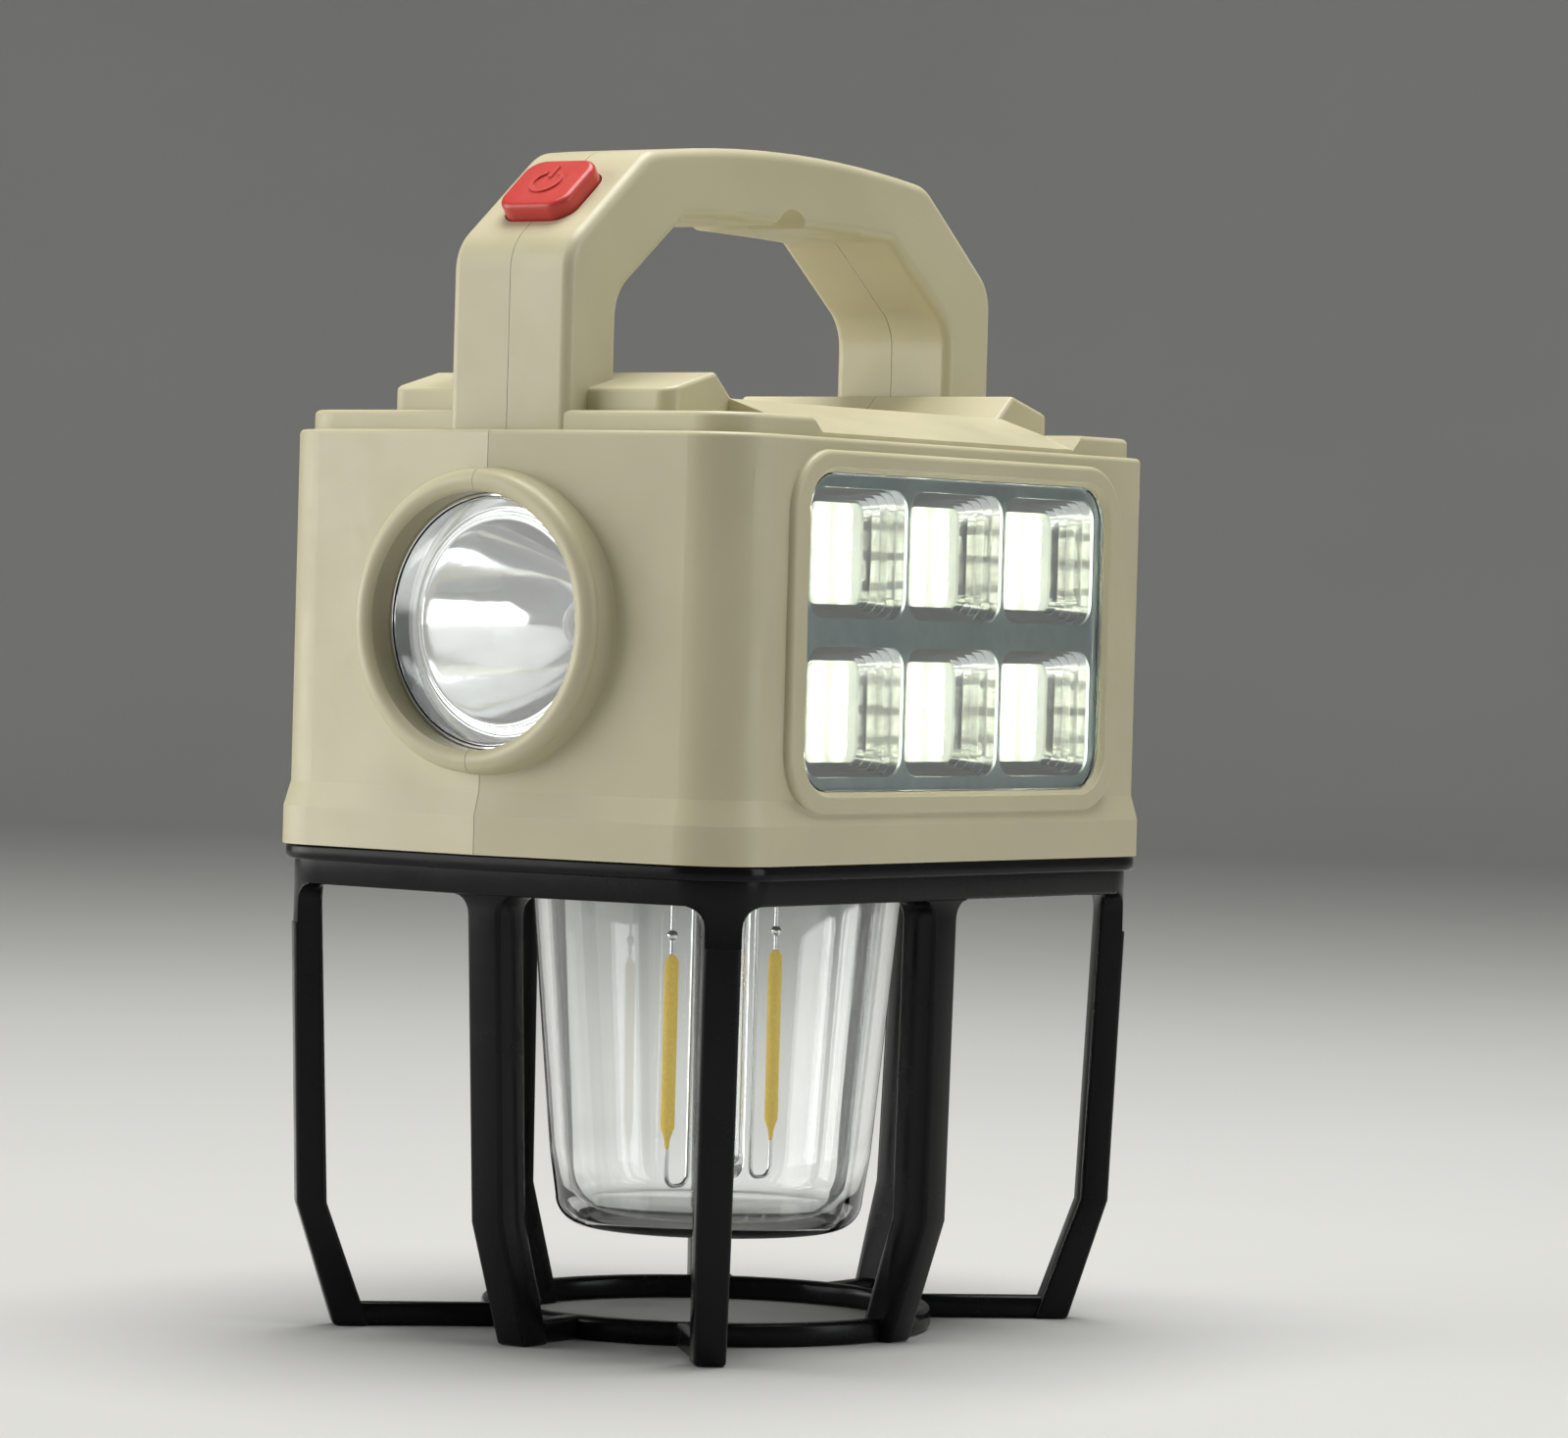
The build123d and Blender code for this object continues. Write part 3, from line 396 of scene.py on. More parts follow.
class Bench:
    """One material's node tree, with short ways to add and link nodes."""

    def __init__(self, name: str) -> None:
        """Start a material with a Principled shader and its object coordinates.

        Args:
            name: the material's name.
        """
        self.material = bpy.data.materials.new(name)
        self.material.use_nodes = True
        self.tree = self.material.node_tree
        self.shader = self.tree.nodes["Principled BSDF"]
        self.place = self.tree.nodes.new("ShaderNodeTexCoord").outputs["Object"]

    def set(self, **values: object) -> None:
        """Set the shader's own sockets; an underscore in a name stands for a space."""
        for name, value in values.items():
            self.shader.inputs[name.replace("_", " ")].default_value = value

    def node(
        self, kind: str, links: dict[str | int, object] | None = None, **settings: object
    ) -> bpy.types.Node:
        """Add a node.

        Args:
            kind: the node's type without "ShaderNode".
            links: what each of its inputs is linked to, or is set to.
            settings: its properties.

        Returns:
            The node.
        """
        made = self.tree.nodes.new("ShaderNode" + kind)
        for name, value in settings.items():
            setattr(made, name, value)
        for key, value in (links or {}).items():
            if isinstance(value, Socket):
                self.tree.links.new(value, made.inputs[key])
            else:
                made.inputs[key].default_value = value
        return made

    def noise(self, size: float, detail: float = 4.0, roughness: float = 0.55) -> Socket:
        """Noise in the piece's own space.

        Args:
            size: how wide its lumps are, in millimetres.
            detail: how many finer layers it has.
            roughness: how strong the finer layers are.

        Returns:
            The noise, mostly between 0.3 and 0.7.
        """
        made = self.node(
            "TexNoise",
            {"Vector": self.place, "Scale": 1 / (size * MM), "Detail": detail, "Roughness": roughness},
        )
        return made.outputs["Fac"]

    def ramp(self, value: Socket, low: float, high: float, out: Pair = (0.0, 1.0)) -> Socket:
        """Ease a value from one range to another, clamped at its ends.

        Args:
            value: what is mapped.
            low: the value that gives the first output.
            high: the value that gives the second output.
            out: the two outputs.

        Returns:
            The mapped value.
        """
        made = self.node(
            "MapRange",
            {"Value": value, "From Min": low, "From Max": high, "To Min": out[0], "To Max": out[1]},
            interpolation_type="SMOOTHSTEP",
        )
        return made.outputs["Result"]

    def maths(self, kind: str, a: object, b: object = 0.0) -> Socket:
        """A Math node of two values."""
        return self.node("Math", {0: a, 1: b}, operation=kind).outputs[0]

    def mix(self, share: object, a: object, b: object) -> Socket:
        """Mix two colours.

        Args:
            share: how much of the second there is, from 0 to 1.
            a: the first colour.
            b: the second colour.

        Returns:
            The mixed colour.
        """
        made = self.node("Mix", data_type="RGBA")
        for socket, value in ((made.inputs[0], share), (made.inputs[6], a), (made.inputs[7], b)):
            if isinstance(value, Socket):
                self.tree.links.new(value, socket)
            else:
                socket.default_value = value
        return made.outputs[2]

    def link(self, value: Socket, socket: str) -> None:
        """Link value to a socket of the shader."""
        self.tree.links.new(value, self.shader.inputs[socket])

    def bump(self, layers: Sequence[tuple[Socket, float]]) -> None:
        """Stack bumps on the shader's normal.

        Args:
            layers: each height with its depth in millimetres.
        """
        below = None
        for height, depth in layers:
            links: dict[str | int, object] = {"Height": height, "Distance": depth * MM, "Strength": 1.0}
            if below is not None:
                links["Normal"] = below
            below = self.node("Bump", links).outputs["Normal"]
        self.link(below, "Normal")

    def edges(self, radius: float) -> Socket:
        """How near a convex edge is: 0 on a flat face, up to 1 on an edge.

        Args:
            radius: how wide the edge band is, in millimetres; the plastics paint it lighter, partly as
                wear, partly as a painted highlight.

        Returns:
            The share.
        """
        rounded = self.node("Bevel", {"Radius": radius * MM}, samples=4).outputs["Normal"]
        flat = self.node("NewGeometry").outputs["Normal"]
        likeness = self.node("VectorMath", {0: rounded, 1: flat}, operation="DOT_PRODUCT").outputs["Value"]
        return self.ramp(likeness, 0.999, 0.93)


def shaded(colour: Colour, factor: float) -> Colour:
    """A colour made lighter or darker by a factor."""
    return tuple(min(1.0, c * factor) for c in colour[:3]) + (1.0,)


@dataclass(frozen=True)
class MouldedPlastic:
    """Opaque moulded plastic: spark-eroded grain, slight mottling, and lighter convex edges that are partly
    wear and dust, partly a painted highlight.
    """

    name: str
    base: Colour
    edge_wear_and_highlight: Colour
    roughness: float
    grain: float = 0.35
    grain_depth: float = 0.012
    mottle: float = 0.06
    scatter: float = 0.0
    coat: float = 0.0
    wear_and_highlight: float = 0.5
    shine: float = 0.5

    def make(self) -> bpy.types.Material:
        """Build the material.

        Returns:
            The material.
        """
        bench = Bench(self.name)
        broad = bench.noise(38.0, 3.0)
        fine = bench.noise(self.grain, 2.0, 0.6)
        smudge = bench.noise(14.0, 5.0, 0.7)
        scratch_place = bench.node(
            "Mapping", {"Vector": bench.place, "Scale": (1.0, 1.0, 0.06), "Rotation": (0.5, 0.3, 0.9)}
        ).outputs[0]
        scratches = bench.node(
            "TexNoise", {"Vector": scratch_place, "Scale": 900.0, "Detail": 3.0, "Roughness": 0.7}
        ).outputs["Fac"]
        dark, light = shaded(self.base, 1 - self.mottle), shaded(self.base, 1 + self.mottle)
        tone = bench.mix(bench.ramp(broad, 0.35, 0.65), dark, light)
        # Convex edges take the lighter edge colour in patches: partly edge wear and dust, partly a painted
        # highlight along the edges.
        edge = bench.edges(0.5)
        wear_and_highlight_mask = bench.maths("MULTIPLY", edge, bench.ramp(smudge, 0.42, 0.62, (0.0, self.wear_and_highlight)))
        bench.link(bench.mix(wear_and_highlight_mask, tone, self.edge_wear_and_highlight), "Base Color")
        low, high = self.roughness - 0.07, self.roughness + 0.08
        bench.link(bench.ramp(smudge, 0.3, 0.7, (low, high)), "Roughness")
        bench.bump([(fine, self.grain_depth), (bench.ramp(scratches, 0.68, 0.75), -0.006)])
        bench.set(Coat_Weight=self.coat, Coat_Roughness=0.12, IOR=1.5, Specular_IOR_Level=self.shine)
        if self.scatter:
            bench.set(
                Subsurface_Weight=self.scatter, Subsurface_Radius=(0.9, 0.75, 0.45), Subsurface_Scale=2 * MM
            )
        return bench.material


@dataclass(frozen=True)
class ClearPlastic:
    """Clear moulded plastic or glass, with faint smears, fine scratches and a hint of tint."""

    name: str
    tint: Colour = (0.985, 0.995, 0.99, 1.0)
    roughness: float = 0.02
    smear: float = 0.07
    ior: float = 1.49
    ripple: float = 0.010

    def make(self) -> bpy.types.Material:
        """Build the material.

        Returns:
            The material.
        """
        bench = Bench(self.name)
        film = bench.noise(22.0, 6.0, 0.65)
        specks = bench.noise(0.9, 2.0, 0.5)
        hazed = bench.maths(
            "ADD",
            bench.ramp(film, 0.5, 0.72, (self.roughness, self.roughness + self.smear)),
            bench.ramp(specks, 0.74, 0.8, (0.0, 0.10)),
        )
        bench.link(hazed, "Roughness")
        bench.bump([(bench.noise(9.0, 2.0), self.ripple)])
        bench.set(Base_Color=self.tint, Transmission_Weight=1.0, IOR=self.ior)
        return bench.material


@dataclass(frozen=True)
class Metallised:
    """Vacuum-metallised plastic or bare metal."""

    name: str
    base: Colour
    roughness: float = 0.06
    ripple: float = 0.006
    ripple_size: float = 5.0
    brushed: bool = False

    def make(self) -> bpy.types.Material:
        """Build the material.

        Returns:
            The material.
        """
        bench = Bench(self.name)
        haze = bench.noise(6.0, 5.0, 0.7)
        tone = bench.mix(bench.ramp(haze, 0.35, 0.7), self.base, shaded(self.base, 0.9))
        bench.link(tone, "Base Color")
        bench.link(bench.ramp(haze, 0.35, 0.75, (self.roughness, self.roughness + 0.10)), "Roughness")
        layers = [(bench.noise(self.ripple_size, 2.0), self.ripple)]
        if self.brushed:
            along = bench.node("Mapping", {"Vector": bench.place, "Scale": (1.0, 1.0, 0.08)}).outputs[0]
            lines = bench.node("TexNoise", {"Vector": along, "Scale": 2500.0, "Detail": 2.0}).outputs["Fac"]
            layers.append((lines, 0.004))
        bench.bump(layers)
        bench.set(Metallic=1.0)
        return bench.material


@dataclass(frozen=True)
class LitPhosphor:
    """A glowing LED face: a yellow phosphor that looks white where it shines."""

    name: str
    base: Colour
    glow: Colour
    strength: float

    def make(self) -> bpy.types.Material:
        """Build the material.

        Returns:
            The material.
        """
        bench = Bench(self.name)
        grit = bench.noise(0.5, 3.0)
        tone = bench.mix(bench.ramp(grit, 0.3, 0.7), self.base, shaded(self.base, 0.85))
        bench.link(tone, "Base Color")
        bench.link(bench.ramp(grit, 0.3, 0.7, (0.45, 0.6)), "Roughness")
        bench.bump([(grit, 0.03)])
        bench.set(Emission_Color=self.glow, Emission_Strength=self.strength)
        return bench.material


# Each plastic's second colour is the lighter colour of its convex edges: partly wear, partly a painted edge
# highlight.
CREAM = MouldedPlastic(
    "cream_plastic",
    base=(0.515, 0.478, 0.318, 1.0),
    edge_wear_and_highlight=(0.66, 0.63, 0.47, 1.0),
    roughness=0.42,
    scatter=0.08,
    mottle=0.035,
)
GLOSS_BLACK = MouldedPlastic(
    "cage_black",
    base=(0.0045, 0.0047, 0.0055, 1.0),
    edge_wear_and_highlight=(0.020, 0.020, 0.021, 1.0),
    roughness=0.22,
    grain=0.6,
    grain_depth=0.004,
    mottle=0.12,
    wear_and_highlight=0.35,
    shine=0.14,
)
BUTTON_RED = MouldedPlastic(
    "button_red",
    base=(0.50, 0.040, 0.030, 1.0),
    edge_wear_and_highlight=(0.62, 0.12, 0.10, 1.0),
    roughness=0.34,
    grain=0.25,
    scatter=0.02,
    mottle=0.04,
)
INNER_BLACK = MouldedPlastic("inner_black", (0.02, 0.02, 0.02, 1.0), (0.06, 0.06, 0.06, 1.0), 0.5)
RUBBER_BLACK = MouldedPlastic(
    "seal_rubber", (0.022, 0.022, 0.024, 1.0), (0.05, 0.05, 0.05, 1.0), 0.75, grain_depth=0.03
)
COVER_RUBBER = MouldedPlastic(
    "cover_rubber", (0.40, 0.37, 0.26, 1.0), (0.52, 0.49, 0.38, 1.0), 0.62, grain_depth=0.02
)
BOARD_WHITE = MouldedPlastic(
    "board_white", (0.78, 0.80, 0.79, 1.0), (0.86, 0.86, 0.85, 1.0), 0.38, wear_and_highlight=0.1
)
BOARD_GREEN = MouldedPlastic(
    "board_green", (0.02, 0.16, 0.06, 1.0), (0.10, 0.30, 0.14, 1.0), 0.35, wear_and_highlight=0.2
)
CELL_SLEEVE = MouldedPlastic("cell_sleeve", (0.05, 0.16, 0.42, 1.0), (0.2, 0.3, 0.5, 1.0), 0.25, coat=0.4)
GLOBE_CLEAR = ClearPlastic("globe_clear", tint=(0.975, 0.99, 0.985, 1.0), smear=0.05)
LENS_CLEAR = ClearPlastic("lens_clear", tint=(0.97, 0.99, 0.985, 1.0), roughness=0.015, smear=0.03)
STEM_GLASS = ClearPlastic("stem_glass", tint=(0.97, 0.985, 0.985, 1.0), ior=1.47, smear=0.03)
LIGHT_PIPE = ClearPlastic("light_pipe", tint=(0.80, 0.90, 0.82, 1.0), roughness=0.35)
CHROME = Metallised("reflector_chrome", (0.90, 0.91, 0.92, 1.0), roughness=0.05, ripple=0.03)
STEEL = Metallised("screw_steel", (0.58, 0.58, 0.60, 1.0), roughness=0.28, brushed=True)
LEAD_WIRE = Metallised("lead_wire", (0.80, 0.80, 0.80, 1.0), roughness=0.18)
BARE_ALUMINIUM = Metallised("bare_aluminium", (0.72, 0.73, 0.75, 1.0), roughness=0.35, brushed=True)
SATIN_PLATE = Metallised("satin_plate", (0.50, 0.57, 0.58, 1.0), roughness=0.34, brushed=True)
FLOOD_GLOW = LitPhosphor("flood_glow", (0.85, 0.85, 0.40, 1.0), (0.97, 1.0, 0.80, 1.0), 40.0)
TORCH_CHIP = LitPhosphor("torch_chip", (0.85, 0.72, 0.12, 1.0), (1.0, 0.85, 0.3, 1.0), 0.0)
FILAMENT = LitPhosphor("filament_phosphor", (0.84, 0.56, 0.06, 1.0), (1.0, 0.72, 0.08, 1.0), 0.25)


@dataclass(frozen=True)
class SolarWafer:
    """Blue-black silicon with silver busbars and fine grid fingers, drawn in the panel's own plane."""

    name: str = "solar_wafer"
    cell_pitch: float = 20.2
    finger_pitch: float = 1.9
    finger: float = 0.16
    busbar: float = 0.9
    dark: Colour = (0.006, 0.013, 0.060, 1.0)
    bright: Colour = (0.016, 0.036, 0.150, 1.0)
    silver: Colour = (0.50, 0.51, 0.54, 1.0)

    def stripes(self, bench: Bench, along: Socket, pitch: float, width: float) -> Socket:
        """Even stripes across one of the panel's directions.

        Args:
            bench: the material being made.
            along: the coordinate that they cross, in metres.
            pitch: the distance from stripe to stripe, in millimetres.
            width: the width of one, in millimetres.

        Returns:
            1 on a stripe and 0 beside it.
        """
        phase = bench.maths("PINGPONG", along, pitch * MM / 2)
        edge, blur = width * MM / 2, 0.03 * MM
        return bench.ramp(phase, edge, edge + blur, (1.0, 0.0))

    def make(self) -> bpy.types.Material:
        """Build the material.

        Returns:
            The material.
        """
        bench = Bench(self.name)
        split = bench.node("SeparateXYZ", {0: bench.place})
        crystals = bench.node("TexVoronoi", {"Vector": bench.place, "Scale": 260.0}).outputs["Color"]
        grey = bench.node("RGBToBW", {0: crystals}).outputs[0]
        silicon = bench.mix(bench.ramp(grey, 0.2, 0.8), self.dark, self.bright)
        fingers = self.stripes(bench, split.outputs["Z"], self.finger_pitch, self.finger)
        bars = self.stripes(bench, split.outputs["Y"], self.cell_pitch, self.busbar)
        lines = bench.maths("MAXIMUM", fingers, bars)
        bench.link(bench.mix(lines, silicon, self.silver), "Base Color")
        bench.link(bench.ramp(lines, 0.0, 1.0, (0.22, 0.38)), "Roughness")
        bench.bump([(lines, 0.02)])
        return bench.material


SOLAR_WAFER = SolarWafer()
Finish = MouldedPlastic | ClearPlastic | Metallised | LitPhosphor | SolarWafer


class Palette:
    """Makes each finish's material once."""

    def __init__(self) -> None:
        """Start with no material made."""
        self.made: dict[str, bpy.types.Material] = {}

    def __call__(self, finish: Finish) -> bpy.types.Material:
        """The material of a finish, made when it is first asked for.

        Args:
            finish: the finish.

        Returns:
            The material.
        """
        if finish.name not in self.made:
            self.made[finish.name] = finish.make()
        return self.made[finish.name]


# ------------------------------------------------------------------ sub-assemblies


CARRIED: dict[Finish, tuple[str, ...]] = {
    CREAM: ("housing_left", "housing_right", "handle_left", "handle_right"),
    STEEL: ("housing_screws", "handle_screws", "cage_screws", "charge_socket"),
    BUTTON_RED: ("power_button",),
    INNER_BLACK: ("switch_plunger", "switch_case", "battery_holder", "lamp_base"),
    BOARD_GREEN: ("switch_board", "main_board"),
    BOARD_WHITE: ("flood_board", "solar_backing"),
    BARE_ALUMINIUM: ("torch_board",),
    CELL_SLEEVE: ("battery_cells",),
    LIGHT_PIPE: ("charge_lights",),
    COVER_RUBBER: ("port_cover",),
    RUBBER_BLACK: ("globe_seal",),
    GLOSS_BLACK: ("base_deck",),
    LENS_CLEAR: ("solar_cover",),
    SOLAR_WAFER: ("solar_cell",),
}


@dataclass
class Carried:
    """The frame's own nodes that keep their shape and get a finish."""

    nodes: dict[str, Piece]
    palette: Palette

    def dress(self) -> None:
        """Give each carried node its material."""
        for finish, names in CARRIED.items():
            for name in names:
                materials = self.nodes[name].data.materials
                materials.clear()
                materials.append(self.palette(finish))
                LOG.info("node %s keeps its shape, finish %s", name, finish.name)


@dataclass
class Cage:
    """The one-piece guard cage: lip, crown, eight legs, foot ring and spokes."""

    palette: Palette
    half_x: float = 46.2
    half_y: float = 60.2
    prow: float = 3.6
    corner_r: float = 10.5
    lip_out: float = 1.1
    z_top: float = 77.9
    z_lip: float = 75.5
    z_window: float = 71.55
    z_bend: float = 20.0
    crown_in: float = 0.35
    crown_t: float = 4.6
    corner_w: tuple[float, float, float] = (5.9, 5.6, 5.1)
    corner_t: tuple[float, float, float] = (4.6, 4.9, 5.8)
    mid_w: tuple[float, float, float] = (6.4, 6.2, 5.8)
    mid_t: tuple[float, float, float] = (6.7, 6.7, 6.5)
    corner_path: tuple[Pair, ...] = ((43.05, 56.95), (41.85, 55.75), (37.9, 50.4))
    front_path: tuple[float, float, float] = (62.2, 59.4, 52.1)
    side_path: tuple[float, float, float] = (45.8, 45.2, 38.9)
    ring_r: float = 37.0
    ring_t: float = 3.2
    ring_h: float = 3.8
    spoke_w: float = 3.4
    flare: float = 3.2
    flare_steps: int = 5
    hair: float = 0.001
    edge_r: float = 0.75
    collar_t: float = 6.0

    def plan_ring(self, name: str, grow: float, inner: float, low: float, high: float) -> Piece:
        """A ring of the body's plan outline.

        Args:
            name: the piece's name.
            grow: how far its outside stands out from the body's outline.
            inner: how far its inside lies within that outside.
            low: its lower height.
            high: its upper height.

        Returns:
            The ring.
        """
        bpy.ops.mesh.primitive_plane_add(size=2, location=mm(0, 0, low))
        ring = bpy.context.active_object
        ring.name = name
        ring.scale = (*mm(self.half_x + grow, self.half_y + grow), 1.0)
        settle(ring)
        radius = (self.corner_r + grow) * MM
        with editing(ring):
            pick(Kind.VERTEX, lambda v: True)
            bpy.ops.mesh.bevel(offset=radius, segments=10, affect="VERTICES", profile=0.5)
            reach = (self.half_y + grow) * MM
            pick(Kind.EDGE, lambda e: abs(abs(centre_of(e).y) - reach) < 1e-5 and e.calc_length() > 0.03)
            bpy.ops.mesh.subdivide(number_cuts=1)
            for side in (-1, 1):
                pick(Kind.VERTEX, lambda v: abs(v.co.x) < 1e-5 and v.co.y * side > 0)
                move(mm(0, side * self.prow, 0))
            pick(Kind.FACE, lambda f: True)
            bpy.ops.mesh.inset(thickness=inner * MM, use_even_offset=True)
            bpy.ops.mesh.delete(type="FACE")
            bpy.ops.mesh.select_all(action="SELECT")
            extrude(mm(0, 0, high - low))
            tidy_shell()
        return ring

    def leg(
        self,
        name: str,
        path: Sequence[Pair],
        depths: Sequence[float],
        widths: Sequence[float],
        angle: float,
    ) -> Piece:
        """One leg, from its foot up into the crown, with flared window corners at its top.

        Args:
            name: the piece's name.
            path: its outer face's middle at the top, the bend and the foot.
            depths: how deep it is there.
            widths: how wide it is there.
            angle: the direction that its outer face looks, in degrees from +X.

        Returns:
            The leg.
        """
        turned = Matrix.Rotation(math.radians(-angle), 2)
        top, bend, foot = (turned @ Vector(p) for p in path)
        (w_top, w_bend, w_foot), (t_top, t_bend, t_foot) = widths, depths
        sections = [(foot, 0.0, t_foot, w_foot), (bend, self.z_bend, t_bend, w_bend)]
        sections.append((top, self.z_window - self.flare, t_top, w_top))
        for step in range(1, self.flare_steps + 1):
            rise = QUARTER_TURN * step / self.flare_steps
            widen = 2 * self.flare * (1 - math.cos(rise))
            z = self.z_window - self.flare * (1 - math.sin(rise)) - self.hair * (self.flare_steps - step)
            sections.append((top, z, t_top, w_top + widen))
        sections.append((top, self.z_window + 2.0, t_top, w_top + 2 * self.flare))
        at, z, depth, width = sections[0]
        bpy.ops.mesh.primitive_plane_add(size=1, location=mm(at.x - depth / 2, at.y, z))
        leg = bpy.context.active_object
        leg.name = name
        leg.scale = (depth * MM, width * MM, 1)
        settle(leg)
        with editing(leg):
            bpy.ops.mesh.select_all(action="SELECT")
            for (at0, z0, d0, w0), (at1, z1, d1, w1) in zip(sections, sections[1:]):
                mid0 = Vector((at0.x - d0 / 2, at0.y))
                mid1 = Vector((at1.x - d1 / 2, at1.y))
                extrude(mm(mid1.x - mid0.x, mid1.y - mid0.y, z1 - z0))
                scale((d1 / d0, w1 / w0, 1), mm(mid1.x, mid1.y, z1))
            tidy_shell()
        round_edges(leg, self.edge_r, 3, 50)
        turn(leg, Matrix.Rotation(math.radians(angle), 4, "Z"))
        return leg

    def legs(self) -> list[Piece]:
        """All eight legs.

        Returns:
            Four corner legs, two end legs and two side legs.
        """
        made = []
        for sx, sy in CORNERS:
            path = [(sx * x, sy * y) for x, y in self.corner_path]
            angle = math.degrees(math.atan2(sy, sx))
            made.append(self.leg("corner_leg", path, self.corner_t, self.corner_w, angle))
        for side in (-1, 1):
            path = [(0, side * y) for y in self.front_path]
            made.append(self.leg("end_leg", path, self.mid_t, self.mid_w, 90 * side))
        for side in (-1, 1):
            path = [(side * x, 0) for x in self.side_path]
            made.append(self.leg("side_leg", path, self.mid_t, self.mid_w, 90 - 90 * side))
        return made

    def foot_ring(self) -> Piece:
        """The ring that the cage stands on.

        Returns:
            The ring.
        """
        bpy.ops.mesh.primitive_circle_add(vertices=128, radius=self.ring_r * MM, fill_type="NGON")
        ring = bpy.context.active_object
        ring.name = "foot_ring"
        with editing(ring):
            pick(Kind.FACE, lambda f: True)
            bpy.ops.mesh.inset(thickness=self.ring_t * MM, use_even_offset=True)
            bpy.ops.mesh.delete(type="FACE")
            bpy.ops.mesh.select_all(action="SELECT")
            extrude(mm(0, 0, self.ring_h))
            tidy_shell()
        round_edges(ring, 0.9, 3, 50)
        return ring

    def spoke(self, start: Pair, end: Pair) -> Piece:
        """One flat bar on the ground.

        Args:
            start: the middle of one end, as (x, y).
            end: the middle of the other end.

        Returns:
            The bar.
        """
        run = Vector(end) - Vector(start)
        bar = block("spoke", (run.length, self.spoke_w, self.ring_h), (0, 0, self.ring_h / 2))
        round_edges(bar, 0.8, 3, 50)
        middle = (Vector(start) + Vector(end)) / 2
        place = Matrix.Translation(mm(middle.x, middle.y, 0))
        turn(bar, place @ Matrix.Rotation(math.atan2(run.y, run.x), 4, "Z"))
        return bar

    def spokes(self) -> list[Piece]:
        """The bars from the feet to the ring.

        Returns:
            Four bars to the corners and two to the ends.
        """
        made = []
        foot_x, foot_y = self.corner_path[2]
        for sx, sy in CORNERS:
            start = (sx * (foot_x - 2.5), sy * (foot_y - 2.5))
            end = (sx * (foot_x - 19.2), sy * (foot_y - 19.2))
            made.append(self.spoke(start, end))
        for sy in (-1, 1):
            made.append(self.spoke((0, sy * (self.front_path[2] - 3)), (0, sy * (self.ring_r - 1.5))))
        return made

    def build(self, stands_for: Sequence[str]) -> None:
        """Make the cage and weld it into one moulding.

        Args:
            stands_for: the frame's nodes that the cage is divided into there.
        """
        lip_t = self.lip_out + self.crown_in + self.crown_t - 0.2
        lip = self.plan_ring("lip", self.lip_out, lip_t, self.z_lip, self.z_top)
        round_edges(lip, 0.5, 3, 50)
        crown = self.plan_ring("crown", -self.crown_in, self.crown_t, self.z_window, self.z_lip + 0.6)
        round_edges(crown, 0.6, 3, 50)
        legs = self.legs()
        low, high = self.z_window - 2 * self.flare, self.z_lip + 1.0
        collar = self.plan_ring("collar", self.collar_t, self.collar_t + self.crown_in, low, high)
        for leg in legs:
            apply_modifier(leg, "BOOLEAN", operation="DIFFERENCE", solver="EXACT", object=collar)
        bpy.data.objects.remove(collar)
        cage = weld([crown, lip, self.foot_ring(), *legs, *self.spokes()], "cage")
        smooth(cage, 32)
        seat(cage, self.palette(GLOSS_BLACK), stands_for)


